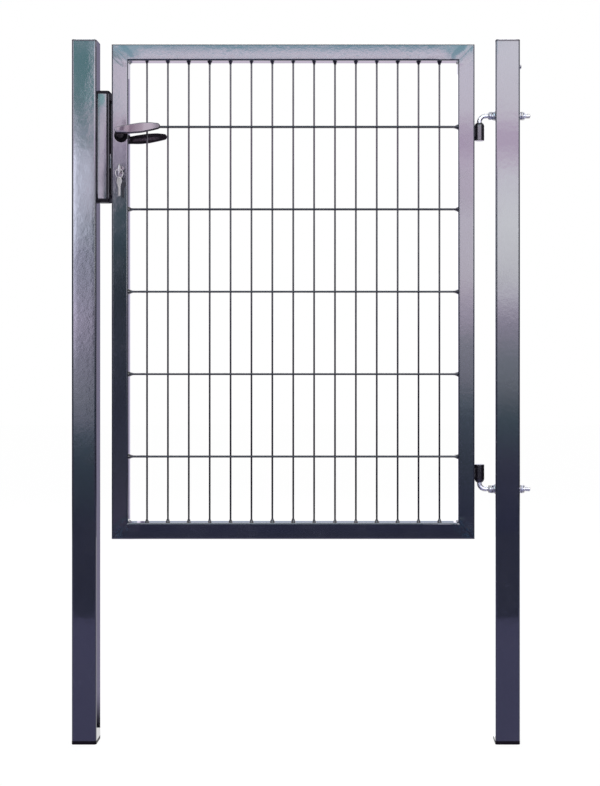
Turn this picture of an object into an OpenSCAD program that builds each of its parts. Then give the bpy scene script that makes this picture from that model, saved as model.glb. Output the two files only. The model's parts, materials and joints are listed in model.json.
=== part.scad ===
// Single-leaf steel garden gate with a welded mesh infill, its two posts,
// adjustable hinges, lever lock and keep. Millimetres, +Z up.
// Origin: centre of the hinge post's foot face. X runs from the lock post to
// the hinge post, and the outside of the gate faces -Y.

/* [Leaf] */
// Width of the leaf over its stiles
leaf_w = 880; // [600:5:1200]
// Height of the leaf over its rails
leaf_h = 1200; // [1000:5:1800]
// Side of the square frame tube
frame_size = 40; // [40:1:50]
// Wall of the frame tube
frame_wall = 2; // [1.5:0.5:3]
// Outer corner radius of the frame tube
frame_corner_r = 4; // [3:0.5:6]
// Height of the leaf's lower edge above the feet of the posts
leaf_rise = 495; // [60:5:800]

/* [Mesh] */
// Number of upright wires
upright_count = 15; // [5:1:23]
// Spacing of the upright wires
upright_pitch = 50.7; // [40:0.1:60]
// Diameter of the upright wires
upright_d = 4; // [3:0.5:6]
// Number of rows of cross wires
cross_count = 5; // [2:1:7]
// Spacing of the rows of cross wires
cross_pitch = 200; // [100:1:220]
// Diameter of the cross wires
cross_d = 5; // [4:0.5:8]
// How far crossing wires melt into each other at a weld
weld_melt = 0.4; // [0.2:0.1:0.8]
// Middle of the mesh in front of the middle of the frame
mesh_forward = 12; // [0:0.5:13]

/* [Posts] */
// Side of the square post tube
post_size = 60; // [50:1:80]
// Wall of the post tube
post_wall = 2; // [1.5:0.5:4]
// Outer corner radius of the post tube
post_corner_r = 5; // [4:0.5:8]
// How far the post tubes reach above the leaf
post_over_leaf = 5; // [0:1:60]
// Height of the collar of the foot plug
foot_collar_h = 9; // [4:1:20]
// Height of the collar of the post cap
cap_collar_h = 4; // [2:0.5:10]
// Rise of the domed top of the post cap
cap_rise = 6; // [3:0.5:15]
// Depth of the plugs inside the tubes
plug_depth = 22; // [10:1:40]
// Slack between a plug and the tube it closes
plug_slack = 0.2; // [0.1:0.05:0.5]

/* [Gaps] */
// Gap between the leaf and the hinge post
hinge_gap = 49; // [46:1:70]
// Gap between the leaf and the lock post
lock_gap = 35; // [30:1:50]

/* [Hinges] */
// Diameter of the bent hinge rods
rod_d = 12; // [10:1:14]
// Radius of the bend on the rod's centre line
rod_bend_r = 14; // [12:1:18]
// Free end of the rod beyond the outer nut
rod_free_end = 15; // [6:1:30]
// Depth of the rod's leg in its barrel
rod_leg = 36; // [24:1:60]
// Outer diameter of the hinge barrel
barrel_d = 24; // [20:1:28]
// Closed end of the barrel beyond the rod
barrel_end = 7; // [4:1:12]
// Radius of the flat ring around the barrel's mouth
barrel_mouth_r = 8.5; // [7:0.5:9.5]
// Weld land between the barrel and the hinge stile
barrel_land = 1; // [0.5:0.5:3]
// Radial clearance of the rod in the barrel
bore_clear = 0.08; // [0.05:0.01:0.1]
// Clearance of the rod in the post's walls, on the radius
rod_hole_clear = 0.25; // [0.1:0.05:0.6]
// Width of a hinge nut across its flats
nut_flats = 19; // [17:1:24]
// Thickness of a hinge nut
nut_t = 10; // [8:0.5:13]
// Thickness of a hinge washer
washer_t = 2.5; // [1.5:0.5:4]
// Diameter of a hinge washer
washer_d = 24; // [22:1:30]
// Top hinge rod below the top of the leaf
top_hinge_drop = 172; // [120:1:400]
// Bottom hinge rod above the lower edge of the leaf
bottom_hinge_rise = 120; // [80:1:400]

/* [Lock] */
// Handle axis above the lower edge of the leaf
handle_rise = 978; // [700:1:1100]
// Lock axes from the free edge of the leaf
backset = 23; // [18:1:25]
// Distance from the handle axis down to the cylinder axis
cylinder_drop = 82; // [72:1:100]
// Distance from the handle axis down to the middle of the latch bolt
latch_drop = 60; // [50:1:62]
// Height of the latch bolt
latch_h = 35; // [20:1:40]
// Thickness of the latch bolt
latch_t = 12; // [8:1:16]
// How far the latch bolt stands out of the faceplate
latch_out = 9; // [6:0.5:12]
// Length of the latch bolt inside the lock case
latch_in = 20; // [12:1:24]
// How far the latch bolt keeps its full height inside the lock case
latch_head_in = 3; // [1:0.5:5]
// Height of the latch bolt's tail, which passes above the key cylinder
latch_tail_h = 26; // [10:1:28]
// Sliding clearance around the latch bolt
latch_clear = 0.4; // [0.2:0.1:1]
// Height of the lock's faceplate
faceplate_h = 240; // [200:1:280]
// Width of the lock's faceplate
faceplate_w = 22; // [18:1:26]
// Thickness of the lock's faceplate
faceplate_t = 3; // [2:0.5:4]
// Middle of the faceplate above the middle of the lock case
faceplate_lift = 8; // [0:1:20]
// Depth of the lock case behind the faceplate
case_depth = 34; // [32:0.5:35]
// Thickness of the lock case
case_t = 17; // [15:1:20]
// Height of the lock case
case_h = 170; // [160:1:180]
// Clearance of inserted lock pieces in their cut-outs
insert_clear = 0.2; // [0.1:0.05:0.5]
// Length of the key cylinder through the leaf
cylinder_l = 54; // [46:1:70]

/* [Handle] */
// Side of the square spindle
spindle_side = 8; // [7:1:10]
// Diameter of a handle rose
rose_d = 32; // [30:1:38]
// Thickness of a handle rose
rose_t = 8; // [4:0.5:12]
// Diameter of a handle's neck
neck_d = 16; // [15:1:24]
// Distance from the stile's face to the middle of a lever's blade
lever_stand = 45; // [35:1:60]
// Reach of a lever from its axis
lever_reach = 101; // [80:1:130]
// How much lower the blade sits on the back lever than on the front one
back_blade_drop = 6; // [0:0.5:8]
// Thickness of a lever's blade
blade_t = 9; // [6:0.5:12]
// Running gap between a rose and its handle
rose_gap = 0.3; // [0.2:0.1:0.6]

/* [Keep] */
// Height of the keep with its end caps
keep_h = 270; // [240:1:320]
// Width of the keep across the gate
keep_w = 44; // [36:1:56]
// Depth of the solid part of the keep on the post
keep_base_x = 18; // [12:1:22]
// Gap between the keep and the lock's faceplate
keep_leaf_gap = 2; // [1.5:0.5:8]
// Width of the keep's pocket for the latch bolt
pocket_w = 24; // [22:1:28]
// Height of a keep's end cap
keep_cap_h = 20; // [12:1:26]
// Middle of the keep above the middle of the latch bolt
keep_over_latch = 34; // [0:1:50]
// Width of the keep's front cover strip
keep_strip_w = 20.5; // [14:0.5:22]
// Thickness of the keep's front cover strip
keep_strip_t = 1.5; // [1:0.5:3]
// Bare rim of the end caps above and below the cover strip
keep_rim_h = 8; // [4:1:12]

/* [Keys] */
// Diameter of a key's bow
bow_d = 21; // [20:1:26]
// Thickness of a key
key_t = 2.2; // [1.8:0.1:2.5]
// Height of a key's blade
blade_h = 8.5; // [7:0.5:9]
// Length of a key's blade
blade_l = 26; // [22:1:32]
// Mean diameter of the split ring
ring_d = 22; // [18:1:30]
// Diameter of the split ring's section
ring_wire_d = 2.2; // [1.5:0.1:2.5]
// Diameter of the hole in a key's bow
bow_hole_d = 6; // [5.5:0.5:7]
// Play of the split ring in the hole of a bow
ring_play = 0.5; // [0.4:0.1:1]

/* [Fence screw] */
// Fence screw below the top of the hinge post
screw_drop = 57; // [20:1:1200]
// Diameter of the fence screw's shank
screw_d = 6; // [4:0.5:8]
// Diameter of the fence screw's round head
screw_head_d = 12; // [8:0.5:14]
// Height of the fence screw's round head
screw_head_h = 6; // [2:0.5:7]

/* [Hidden] */
$fn = 48;
eps = 0.01;

// Places along X
leaf_right = -post_size/2 - hinge_gap;
leaf_left = leaf_right - leaf_w;
lock_post_x = leaf_left - lock_gap - post_size/2;
lock_face_x = lock_post_x + post_size/2;
pivot_x = leaf_right + barrel_land + barrel_d/2;
axis_x = leaf_left + backset;
// Places along Z
leaf_top = leaf_rise + leaf_h;
post_top = leaf_top + post_over_leaf;
handle_z = leaf_rise + handle_rise;
cylinder_z = handle_z - cylinder_drop;
latch_z = handle_z - latch_drop;
keep_z = latch_z + keep_over_latch;
screw_z = post_top - screw_drop;
top_rod_z = leaf_top - top_hinge_drop;
bottom_rod_z = leaf_rise + bottom_hinge_rise;
// The inside of the leaf's frame
inner_w = leaf_w - 2*frame_size;
inner_h = leaf_h - 2*frame_size;
leaf_mid_x = (leaf_left + leaf_right)/2;
leaf_mid_z = (leaf_rise + leaf_top)/2;
// The euro-profile cylinder
plug_r = 8.5;
web_w = 10;
cylinder_h = 33;
cylinder_face = cylinder_l/2;
keyway_clear = 0.15;
// The keys: places of the bows, their holes and the split ring
bow_stand = 13;
bow_y = -cylinder_face - bow_stand;
shoulder_gap = 0.5;
tip_gap = 3;
hole_out = 6;
hole_y = bow_y - hole_out;
hole_seat = (bow_hole_d - ring_wire_d)/2 - ring_play;
ring_turn = 46;
spare_turn = 38;
ring_z = cylinder_z - hole_seat - ring_d/2;
spare_hole_z = ring_z - ring_d/2 - hole_seat;
// The latch bolt draws this much further in than the faceplate's face
latch_over_travel = 0.5;
// The keep
keep_x = lock_gap - faceplate_t - keep_leaf_gap;
keep_mid_h = keep_h - 2*keep_cap_h;
keep_strip_x = 2.8;
keep_lip_w = 3.5;
keep_corner_r = 5;
// Gap between the start of a rod's bend and the mouth of its barrel
barrel_lift = 3;
// Gap between the end of a rod and the bottom of its bore
rod_end_gap = 0.3;
// Clearance between a thread and its nut, on the diameter
thread_clear = 0.1;
// Hub hole that the spindle turns in
hub_d = spindle_side*sqrt(2) + 2.7;
// Middle of the lock case and of the faceplate above the leaf's lower edge
case_mid = handle_rise - cylinder_drop/2;
faceplate_mid = case_mid + faceplate_lift;
// How far the spindle reaches into each handle beyond the stile's face
spindle_reach = rose_t + 20;
spindle_clear = 0.2;
// Straight part of a rose under its bevel, as a share of its thickness
rose_straight = 0.6;
rose_top_d = rose_d*0.86;

// A square with round corners
module rounded_square(side, r) {
    square([side - 2*r, side], center = true);
    square([side, side - 2*r], center = true);
    for (x = [-1, 1], y = [-1, 1])
        translate([x*(side/2 - r), y*(side/2 - r)]) circle(r = r);
}

// Section of a square tube
module tube_section(side, wall, r) {
    difference() {
        rounded_square(side, r);
        rounded_square(side - 2*wall, r - wall);
    }
}

// A square tube along Z, its foot at z = 0
module square_tube(side, wall, r, h) {
    linear_extrude(h) tube_section(side, wall, r);
}

// A prism across the gate over an outline drawn in X and Z
module across(depth) {
    rotate([90, 0, 0]) linear_extrude(depth, center = true) children();
}

// A cylinder along X from x0 to x1
module bar_x(d, x0, x1) {
    translate([x0, 0, 0]) rotate([0, 90, 0]) cylinder(d = d, h = x1 - x0);
}

// A cylinder along Y from y0 to y1
module bar_y(d, y0, y1) {
    translate([0, y0, 0]) rotate([-90, 0, 0]) cylinder(d = d, h = y1 - y0);
}

// Post tube between its foot collar and its top
module post_tube() {
    translate([0, 0, foot_collar_h])
        square_tube(post_size, post_wall, post_corner_r, post_top - foot_collar_h);
}

module plug_body(h) {
    side = post_size - 2*post_wall - 2*plug_slack;
    linear_extrude(h) rounded_square(side, post_corner_r - post_wall);
}

module lock_post() {
    color("#3a3f4b") translate([lock_post_x, 0, 0]) post_tube();
}

module hinge_post() {
    color("#3a3f4b") difference() {
        post_tube();
        for (z = [top_rod_z, bottom_rod_z]) translate([0, 0, z])
            bar_x(rod_d + 2*rod_hole_clear, -post_size, post_size);
        translate([0, 0, screw_z]) bar_x(screw_d + thread_clear, 0, post_size);
    }
}

// Domed cap with a plug that drops into the post
module post_cap() {
    dome_w = post_size*0.68;
    dome_r = (dome_w*dome_w + cap_rise*cap_rise)/(2*cap_rise);
    color("#15161a") translate([0, 0, post_top]) {
        intersection() {
            linear_extrude(cap_collar_h + cap_rise)
                rounded_square(post_size, post_corner_r);
            translate([0, 0, cap_collar_h + cap_rise - dome_r])
                sphere(r = dome_r, $fn = 96);
        }
        translate([0, 0, -plug_depth]) plug_body(plug_depth);
    }
}

module lock_post_cap() {
    translate([lock_post_x, 0, 0]) post_cap();
}

module hinge_post_cap() {
    post_cap();
}

// Foot plug: a collar under the tube and a body inside it
module post_foot() {
    color("#15161a") {
        linear_extrude(foot_collar_h) rounded_square(post_size, post_corner_r);
        plug_body(foot_collar_h + plug_depth);
    }
}

module lock_post_foot() {
    translate([lock_post_x, 0, 0]) post_foot();
}

module hinge_post_foot() {
    post_foot();
}

// A block of the keep between its end caps, placed from the post's face
module keep_block(x0, x1, y0, y1) {
    translate([lock_face_x + x0, y0, keep_z - keep_mid_h/2])
        cube([x1 - x0, y1 - y0, keep_mid_h]);
}

module keep_base() {
    color("#16171c") keep_block(0, keep_base_x, -keep_w/2, keep_w/2);
}

// Strip on the front of the keep, from x0 to x1 beyond the post's face
module keep_strip(x0, x1) {
    strip_h = keep_h - 2*keep_rim_h;
    translate([lock_face_x + x0, -keep_w/2 - keep_strip_t, keep_z - strip_h/2])
        cube([x1 - x0, keep_strip_t, strip_h]);
}

module keep_front_rail() {
    color("#16171c") {
        keep_block(keep_base_x, keep_x, -keep_w/2, -pocket_w/2);
        keep_strip(keep_x - keep_lip_w, keep_x);
    }
}

module keep_stop() {
    color("#101114") keep_block(keep_base_x, keep_x, pocket_w/2, keep_w/2);
}

module keep_cover_strip() {
    color("#4a4f5c") keep_strip(keep_strip_x, keep_strip_x + keep_strip_w);
}

// End cap of the keep, its free corners rounded
module keep_cap(z) {
    r = keep_corner_r;
    color("#101114") translate([lock_face_x, 0, z - keep_cap_h/2])
        linear_extrude(keep_cap_h) {
            translate([0, -keep_w/2]) square([keep_x - r, keep_w]);
            translate([0, r - keep_w/2]) square([keep_x, keep_w - 2*r]);
            for (s = [-1, 1])
                translate([keep_x - r, s*(keep_w/2 - r)]) circle(r = r);
        }
}

module keep_top_cap() {
    keep_cap(keep_z + keep_h/2 - keep_cap_h/2);
}

module keep_bottom_cap() {
    keep_cap(keep_z - keep_h/2 + keep_cap_h/2);
}

// Bent rod: through the post along X, then a leg into the barrel.
// The leg runs up when up is 1 and down when up is -1.
module hinge_rod(z, up) {
    outer_end = post_size/2 + washer_t + nut_t + rod_free_end;
    color("#b9bcc2") translate([0, 0, z]) {
        bar_x(rod_d, pivot_x + rod_bend_r, outer_end);
        mirror([0, 0, up > 0 ? 0 : 1]) {
            translate([pivot_x + rod_bend_r, 0, rod_bend_r]) rotate([90, 0, 0])
                rotate(180) rotate_extrude(angle = 90)
                    translate([rod_bend_r, 0]) circle(d = rod_d);
            translate([pivot_x, 0, rod_bend_r])
                cylinder(d = rod_d, h = rod_leg + barrel_lift);
        }
    }
}

module top_hinge_rod() {
    hinge_rod(top_rod_z, -1);
}

module bottom_hinge_rod() {
    hinge_rod(bottom_rod_z, 1);
}

// One piece on each side of the post for both rods
module at_hinge_seats(t, offset_x) {
    for (z = [top_rod_z, bottom_rod_z], s = [-1, 1])
        translate([s*(post_size/2 + offset_x + t/2), 0, z])
            rotate([0, 90, 0]) children();
}

module hinge_nuts() {
    color("#c4c7cc") at_hinge_seats(nut_t, washer_t) difference() {
        cylinder(d = nut_flats/cos(30), h = nut_t, center = true, $fn = 6);
        cylinder(d = rod_d + thread_clear, h = 2*nut_t, center = true);
    }
}

module hinge_washers() {
    color("#c4c7cc") at_hinge_seats(washer_t, 0) difference() {
        cylinder(d = washer_d, h = washer_t, center = true);
        cylinder(d = rod_d + 2*rod_hole_clear, h = 2*washer_t, center = true);
    }
}

// Round-head screw for the fence, in the outer wall of the hinge post
module fence_screw() {
    head_x = post_size/2 + screw_head_h;
    head_r = (screw_head_d*screw_head_d/4 + screw_head_h*screw_head_h)/(2*screw_head_h);
    color("#c4c7cc") translate([0, 0, screw_z]) {
        bar_x(screw_d, post_size/2 - 2*post_wall, post_size/2 + eps);
        intersection() {
            bar_x(screw_head_d, post_size/2, head_x);
            translate([head_x - head_r, 0, 0]) sphere(r = head_r);
        }
    }
}

// Outline of an upright stile whose inner side is mitred at both ends.
// The outer edge lies at x = 0 and the stile runs towards +X.
module stile_outline() {
    polygon([[0, 0], [frame_size, frame_size],
        [frame_size, leaf_h - frame_size], [0, leaf_h]]);
}

// Outline of a rail with mitred ends, its outer edge at z = 0
module rail_outline() {
    polygon([[0, 0], [leaf_w, 0], [leaf_w - frame_size, frame_size],
        [frame_size, frame_size]]);
}

// Frame tube along Z, cut to the stile's outline
module stile() {
    intersection() {
        translate([frame_size/2, 0, 0])
            square_tube(frame_size, frame_wall, frame_corner_r, leaf_h);
        across(2*frame_size) stile_outline();
    }
}

module rail() {
    intersection() {
        translate([0, 0, frame_size/2]) rotate([0, 90, 0])
            square_tube(frame_size, frame_wall, frame_corner_r, leaf_w);
        across(2*frame_size) rail_outline();
    }
}

// Outline of the cylinder's profile, grown by g, its plug axis at the origin
module cylinder_outline(g = 0) {
    web_low = -(cylinder_h - plug_r - web_w/2);
    circle(r = plug_r + g);
    translate([-web_w/2 - g, web_low]) square([web_w + 2*g, -web_low]);
    translate([0, web_low]) circle(r = web_w/2 + g);
}

// Holes for the handle's hub and the key cylinder, across the leaf
module lock_holes() {
    translate([axis_x, 0, handle_z]) bar_y(hub_d, -frame_size, frame_size);
    translate([axis_x, 0, cylinder_z]) across(2*frame_size)
        cylinder_outline(insert_clear);
}

// Slot for the lock case in the outer wall of the lock stile
module case_slot() {
    slot_w = case_t + 2*insert_clear;
    slot_h = case_h + 2*insert_clear;
    translate([leaf_left - eps, -slot_w/2, leaf_rise + case_mid - slot_h/2])
        cube([frame_wall + 2*eps, slot_w, slot_h]);
}

module lock_stile() {
    color("#3a3f4b") difference() {
        translate([leaf_left, 0, leaf_rise]) stile();
        lock_holes();
        case_slot();
    }
}

module hinge_stile() {
    color("#3a3f4b") translate([leaf_right, 0, leaf_rise])
        mirror([1, 0, 0]) stile();
}

module bottom_rail() {
    color("#3a3f4b") translate([leaf_left, 0, leaf_rise]) rail();
}

module top_rail() {
    color("#3a3f4b") translate([leaf_left, 0, leaf_top])
        mirror([0, 0, 1]) rail();
}

// Welded mesh: upright wires between pairs of cross wires
module mesh_panel() {
    cross_y = (upright_d + cross_d)/2 - weld_melt;
    color("#3a3f4b") translate([leaf_mid_x, -mesh_forward, leaf_mid_z]) {
        for (i = [0:upright_count - 1])
            translate([(i - (upright_count - 1)/2)*upright_pitch, 0, -inner_h/2])
                cylinder(d = upright_d, h = inner_h, $fn = 8);
        for (j = [0:cross_count - 1], s = [-1, 1])
            translate([-inner_w/2, s*cross_y, (j - (cross_count - 1)/2)*cross_pitch])
                rotate([0, 90, 0]) cylinder(d = cross_d, h = inner_w, $fn = 8);
    }
}

// Barrel on the hinge stile: round-shouldered mouth, bore and flat closed end.
// The mouth is at z = 0 and the barrel runs towards +Z.
module hinge_barrel() {
    h = rod_leg + barrel_end;
    r = barrel_d/2;
    shoulder = sqrt(r*r - barrel_mouth_r*barrel_mouth_r);
    land_w = barrel_d/3;
    difference() {
        union() {
            translate([0, 0, shoulder]) cylinder(r = r, h = h - shoulder);
            intersection() {
                translate([0, 0, shoulder]) sphere(r = r);
                cylinder(r = barrel_d, h = shoulder + eps);
            }
            translate([-r - barrel_land, -land_w/2, shoulder])
                cube([r, land_w, h - 2*shoulder]);
        }
        translate([0, 0, -eps])
            cylinder(d = rod_d + 2*bore_clear, h = rod_leg + rod_end_gap + eps);
    }
}

module top_hinge_barrel() {
    color("#17181d") translate([pivot_x, 0, top_rod_z - rod_bend_r - barrel_lift])
        mirror([0, 0, 1]) hinge_barrel();
}

module bottom_hinge_barrel() {
    color("#17181d") translate([pivot_x, 0, bottom_rod_z + rod_bend_r + barrel_lift])
        hinge_barrel();
}

// The latch bolt: a head and a lower tail. It grows by g all around and by
// more at its inner ends
module latch_shape(g = 0, more = 0) {
    head_l = latch_out + faceplate_t + latch_head_in + more;
    whole_l = latch_out + faceplate_t + latch_in + more;
    low = -latch_h/2 - g;
    high = latch_h/2 + g;
    step = latch_h/2 - latch_tail_h - g;
    translate([leaf_left - faceplate_t - latch_out, 0, latch_z])
        across(latch_t + 2*g)
            polygon([[0, low], [head_l, low], [head_l, step], [whole_l, step],
                [whole_l, high], [0, high]]);
}

// Faceplate and case, with the holes for hub, cylinder and latch bolt
module lock_case() {
    color("#a9adb4") difference() {
        translate([leaf_left, 0, leaf_rise]) {
            translate([-faceplate_t, -faceplate_w/2, faceplate_mid - faceplate_h/2])
                cube([faceplate_t, faceplate_w, faceplate_h]);
            translate([-eps, -case_t/2, case_mid - case_h/2])
                cube([case_depth + eps, case_t, case_h]);
        }
        lock_holes();
        latch_shape(latch_clear, latch_out + latch_over_travel + latch_clear);
    }
}

module latch_bolt() {
    color("#d3d6da") latch_shape();
}

module key_cylinder() {
    slot_w = key_t + 2*keyway_clear;
    slot_h = blade_h + 2*keyway_clear;
    color("#c9ccd1") translate([axis_x, 0, cylinder_z]) difference() {
        across(cylinder_l) cylinder_outline();
        translate([-slot_w/2, -cylinder_face - eps, -slot_h/2])
            cube([slot_w, blade_l, slot_h]);
    }
}

// A rose on one face of the stile; side is -1 at the front and 1 at the back
module rose(side) {
    straight = rose_t*rose_straight;
    color("#17181d") translate([axis_x, side*frame_size/2, handle_z])
        rotate([-90*side, 0, 0]) difference() {
            union() {
                cylinder(d = rose_d, h = straight);
                translate([0, 0, straight])
                    cylinder(d1 = rose_d, d2 = rose_top_d, h = rose_t - straight);
            }
            translate([0, 0, -eps]) cylinder(d = hub_d, h = 2*rose_t);
        }
}

module front_rose() {
    rose(-1);
}

module back_rose() {
    rose(1);
}

// Front view of a lever's blade: low at its root, then rising to the tip.
// Each row is a circle's X, Z and radius, with the axis at the origin.
module blade_outline() {
    spine = [[0.2, 7, 8.1], [lever_reach*0.29, 9.3, 11.1], [lever_reach*0.54, 12.2, 12],
        [lever_reach*0.76, 15, 10.1], [lever_reach - 7, 16, 6.9]];
    hull() for (c = spine)
        translate([c[0], c[1]]) circle(r = c[2], $fn = 40);
}

// A lever with its neck, hollow for the spindle
module lever(side) {
    socket = spindle_side + spindle_clear;
    color("#23252c") translate([axis_x, side*frame_size/2, handle_z]) difference() {
        union() {
            translate([0, side*lever_stand, side > 0 ? -back_blade_drop : 0])
                across(blade_t) blade_outline();
            rotate([-90*side, 0, 0]) translate([0, 0, rose_t + rose_gap])
                cylinder(d = neck_d, h = lever_stand - rose_t - rose_gap);
        }
        cube([socket, 2*spindle_reach, socket], center = true);
    }
}

module front_lever() {
    lever(-1);
}

module back_lever() {
    lever(1);
}

module spindle() {
    l = frame_size + 2*spindle_reach - 2*spindle_clear;
    color("#b0b3b8") translate([axis_x, 0, handle_z])
        cube([spindle_side, l, spindle_side], center = true);
}

// Outline of a key drawn with its bow at the origin and its blade towards +X
module key_outline() {
    shoulder_h = blade_h*1.4;
    difference() {
        union() {
            circle(d = bow_d);
            translate([0, -blade_h/2])
                square([bow_stand + blade_l - tip_gap, blade_h]);
            translate([0, -shoulder_h/2])
                square([bow_stand - shoulder_gap, shoulder_h]);
        }
        translate([-hole_out, 0]) circle(d = bow_hole_d);
    }
}

module key() {
    color("#d8dade") translate([axis_x, bow_y, cylinder_z]) rotate([90, 0, 90])
        linear_extrude(key_t, center = true) key_outline();
}

module key_ring() {
    color("#d8dade") translate([axis_x, hole_y, ring_z])
        rotate([0, 0, ring_turn]) rotate([90, 0, 0]) rotate_extrude()
            translate([ring_d/2, 0]) circle(d = ring_wire_d, $fn = 24);
}

module spare_key() {
    color("#d8dade") translate([axis_x, hole_y, spare_hole_z - hole_out])
        rotate([0, 0, spare_turn]) rotate([0, 90, 0])
            linear_extrude(key_t, center = true) key_outline();
}

lock_post();
hinge_post();
lock_post_cap();
hinge_post_cap();
lock_post_foot();
hinge_post_foot();
keep_base();
keep_front_rail();
keep_stop();
keep_cover_strip();
keep_top_cap();
keep_bottom_cap();
top_hinge_rod();
bottom_hinge_rod();
hinge_nuts();
hinge_washers();
fence_screw();
lock_stile();
hinge_stile();
top_rail();
bottom_rail();
mesh_panel();
top_hinge_barrel();
bottom_hinge_barrel();
lock_case();
key_cylinder();
front_rose();
back_rose();
front_lever();
back_lever();
spindle();
latch_bolt();
key();
key_ring();
spare_key();
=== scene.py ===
"""Looks of a single-leaf mesh garden gate with its two posts, lock, keep and hinges."""

import json
import math
import random

import bmesh
import bpy
from mathutils import Matrix, Vector


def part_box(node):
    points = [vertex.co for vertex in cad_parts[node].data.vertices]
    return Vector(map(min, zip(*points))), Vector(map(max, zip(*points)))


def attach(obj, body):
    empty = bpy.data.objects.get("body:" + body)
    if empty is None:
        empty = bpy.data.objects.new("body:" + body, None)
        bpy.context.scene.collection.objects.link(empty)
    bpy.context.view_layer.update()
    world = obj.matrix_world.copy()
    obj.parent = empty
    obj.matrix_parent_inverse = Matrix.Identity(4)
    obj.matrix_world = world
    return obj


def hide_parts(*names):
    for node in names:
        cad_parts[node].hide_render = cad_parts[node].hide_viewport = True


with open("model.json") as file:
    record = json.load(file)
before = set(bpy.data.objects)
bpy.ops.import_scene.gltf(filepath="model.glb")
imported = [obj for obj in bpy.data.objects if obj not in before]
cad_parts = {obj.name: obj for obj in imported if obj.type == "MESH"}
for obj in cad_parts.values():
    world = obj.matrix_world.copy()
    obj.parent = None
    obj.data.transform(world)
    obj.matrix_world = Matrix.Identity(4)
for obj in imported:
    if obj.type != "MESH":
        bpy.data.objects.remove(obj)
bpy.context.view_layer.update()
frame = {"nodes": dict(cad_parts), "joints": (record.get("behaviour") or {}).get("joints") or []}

MM = 0.001
TAU = 2 * math.pi
QUARTER = math.pi / 2


# ---- Places, read from the construction ----

class Span:
    """Lowest and highest corner of one or more nodes, and the middle of them."""

    def __init__(self, *nodes):
        boxes = [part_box(n) for n in nodes]
        self.low = Vector([min(b[0][k] for b in boxes) for k in range(3)])
        self.high = Vector([max(b[1][k] for b in boxes) for k in range(3)])
        self.mid = (self.low + self.high) / 2
        self.size = self.high - self.low


JOINTS = {j["name"]: j for j in frame["joints"]}
PIVOT_X = JOINTS["gate_swing"]["pos_m"][0]
AXIS_X, _, HANDLE_Z = JOINTS["handle_turn"]["pos_m"]

LEAF_TUBES = ("lock_stile", "hinge_stile", "top_rail", "bottom_rail")
LOCK_POST = Span("lock_post")
HINGE_POST = Span("hinge_post")
LEAF = Span(*LEAF_TUBES)
MESH = Span("mesh_panel")
CASE = Span("lock_case")
CYLINDER = Span("key_cylinder")
LATCH = Span("latch_bolt")
TOP_ROD = Span("top_hinge_rod")
BOTTOM_ROD = Span("bottom_hinge_rod")

POST_SIDE = HINGE_POST.size.x
POST_CORNER = 5 * MM
FRAME_SIDE = Span("lock_stile").size.x
FRAME_CORNER = 4 * MM
FRAME_FACE = FRAME_SIDE / 2
ROD_D = 12 * MM
TOP_ROD_Z = TOP_ROD.high.z - ROD_D / 2
BOTTOM_ROD_Z = BOTTOM_ROD.low.z + ROD_D / 2
CYLINDER_HEAD_R = 8.5 * MM
CYLINDER_Z = CYLINDER.high.z - CYLINDER_HEAD_R


# ---- Node trees ----

def maths(operation):
    """A method that adds a Math node to the tree of its link."""
    return lambda self, *others: self.math(operation, self, *others)


class Link:
    """An output of a node. Sums and products of links add Math nodes to the tree."""

    __add__ = __radd__ = maths("ADD")
    __mul__ = __rmul__ = maths("MULTIPLY")
    __sub__ = maths("SUBTRACT")
    __truediv__ = maths("DIVIDE")
    size = maths("ABSOLUTE")
    at_most = maths("MINIMUM")
    at_least = maths("MAXIMUM")

    def __init__(self, socket):
        self.socket = socket

    def math(self, operation, *values):
        numbered = dict(enumerate(values))
        return add_node(self.socket.id_data, "ShaderNodeMath", numbered, operation=operation)[0]

    def __rsub__(self, other):
        return self.math("SUBTRACT", other, self)

    def __neg__(self):
        return self * -1.0

    def step(self, low, high):
        """0 below low, 1 above high and smooth between them."""
        values = {"Value": self, "From Min": low, "From Max": high}
        return add_node(self.socket.id_data, "ShaderNodeMapRange", values,
                        interpolation_type="SMOOTHSTEP")["Result"]

    def window(self, rising, full, fading, gone):
        """0, then 1 from full to fading, then 0 again, and smooth between."""
        return self.step(rising, full) * (1 - self.step(fading, gone))


class Outputs:
    """The outputs of a node, by name or by number."""

    def __init__(self, node):
        self.node = node

    def __getitem__(self, key):
        return Link(self.node.outputs[key])


def add_node(tree, kind, values, stops=(), **settings):
    """Adds a node: its settings, the stops of a ramp, and the values or links of its sockets."""
    node = tree.nodes.new(kind)
    for name, value in settings.items():
        setattr(node, name, value)
    for _ in stops[2:]:
        node.color_ramp.elements.new(0.5)
    for at, (place, tone) in enumerate(stops):
        element = node.color_ramp.elements[at]
        element.position, element.color = place, colour(tone)
    for name, value in (values or {}).items():
        if isinstance(value, Link):
            tree.links.new(value.socket, node.inputs[name])
        else:
            node.inputs[name].default_value = value
    return Outputs(node)


def colour(value):
    return value if isinstance(value, Link) or len(value) == 4 else (*value, 1.0)


def shade(base, *factors):
    """A colour times one factor, or times one for each channel."""
    return [c * k for c, k in zip(base, factors if len(factors) == 3 else factors * 3)]


class Tree:
    """A node tree that is being filled."""

    def __init__(self, tree):
        self.tree = tree

    def node(self, kind, values=None, **settings):
        return add_node(self.tree, kind, values, **settings)


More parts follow.
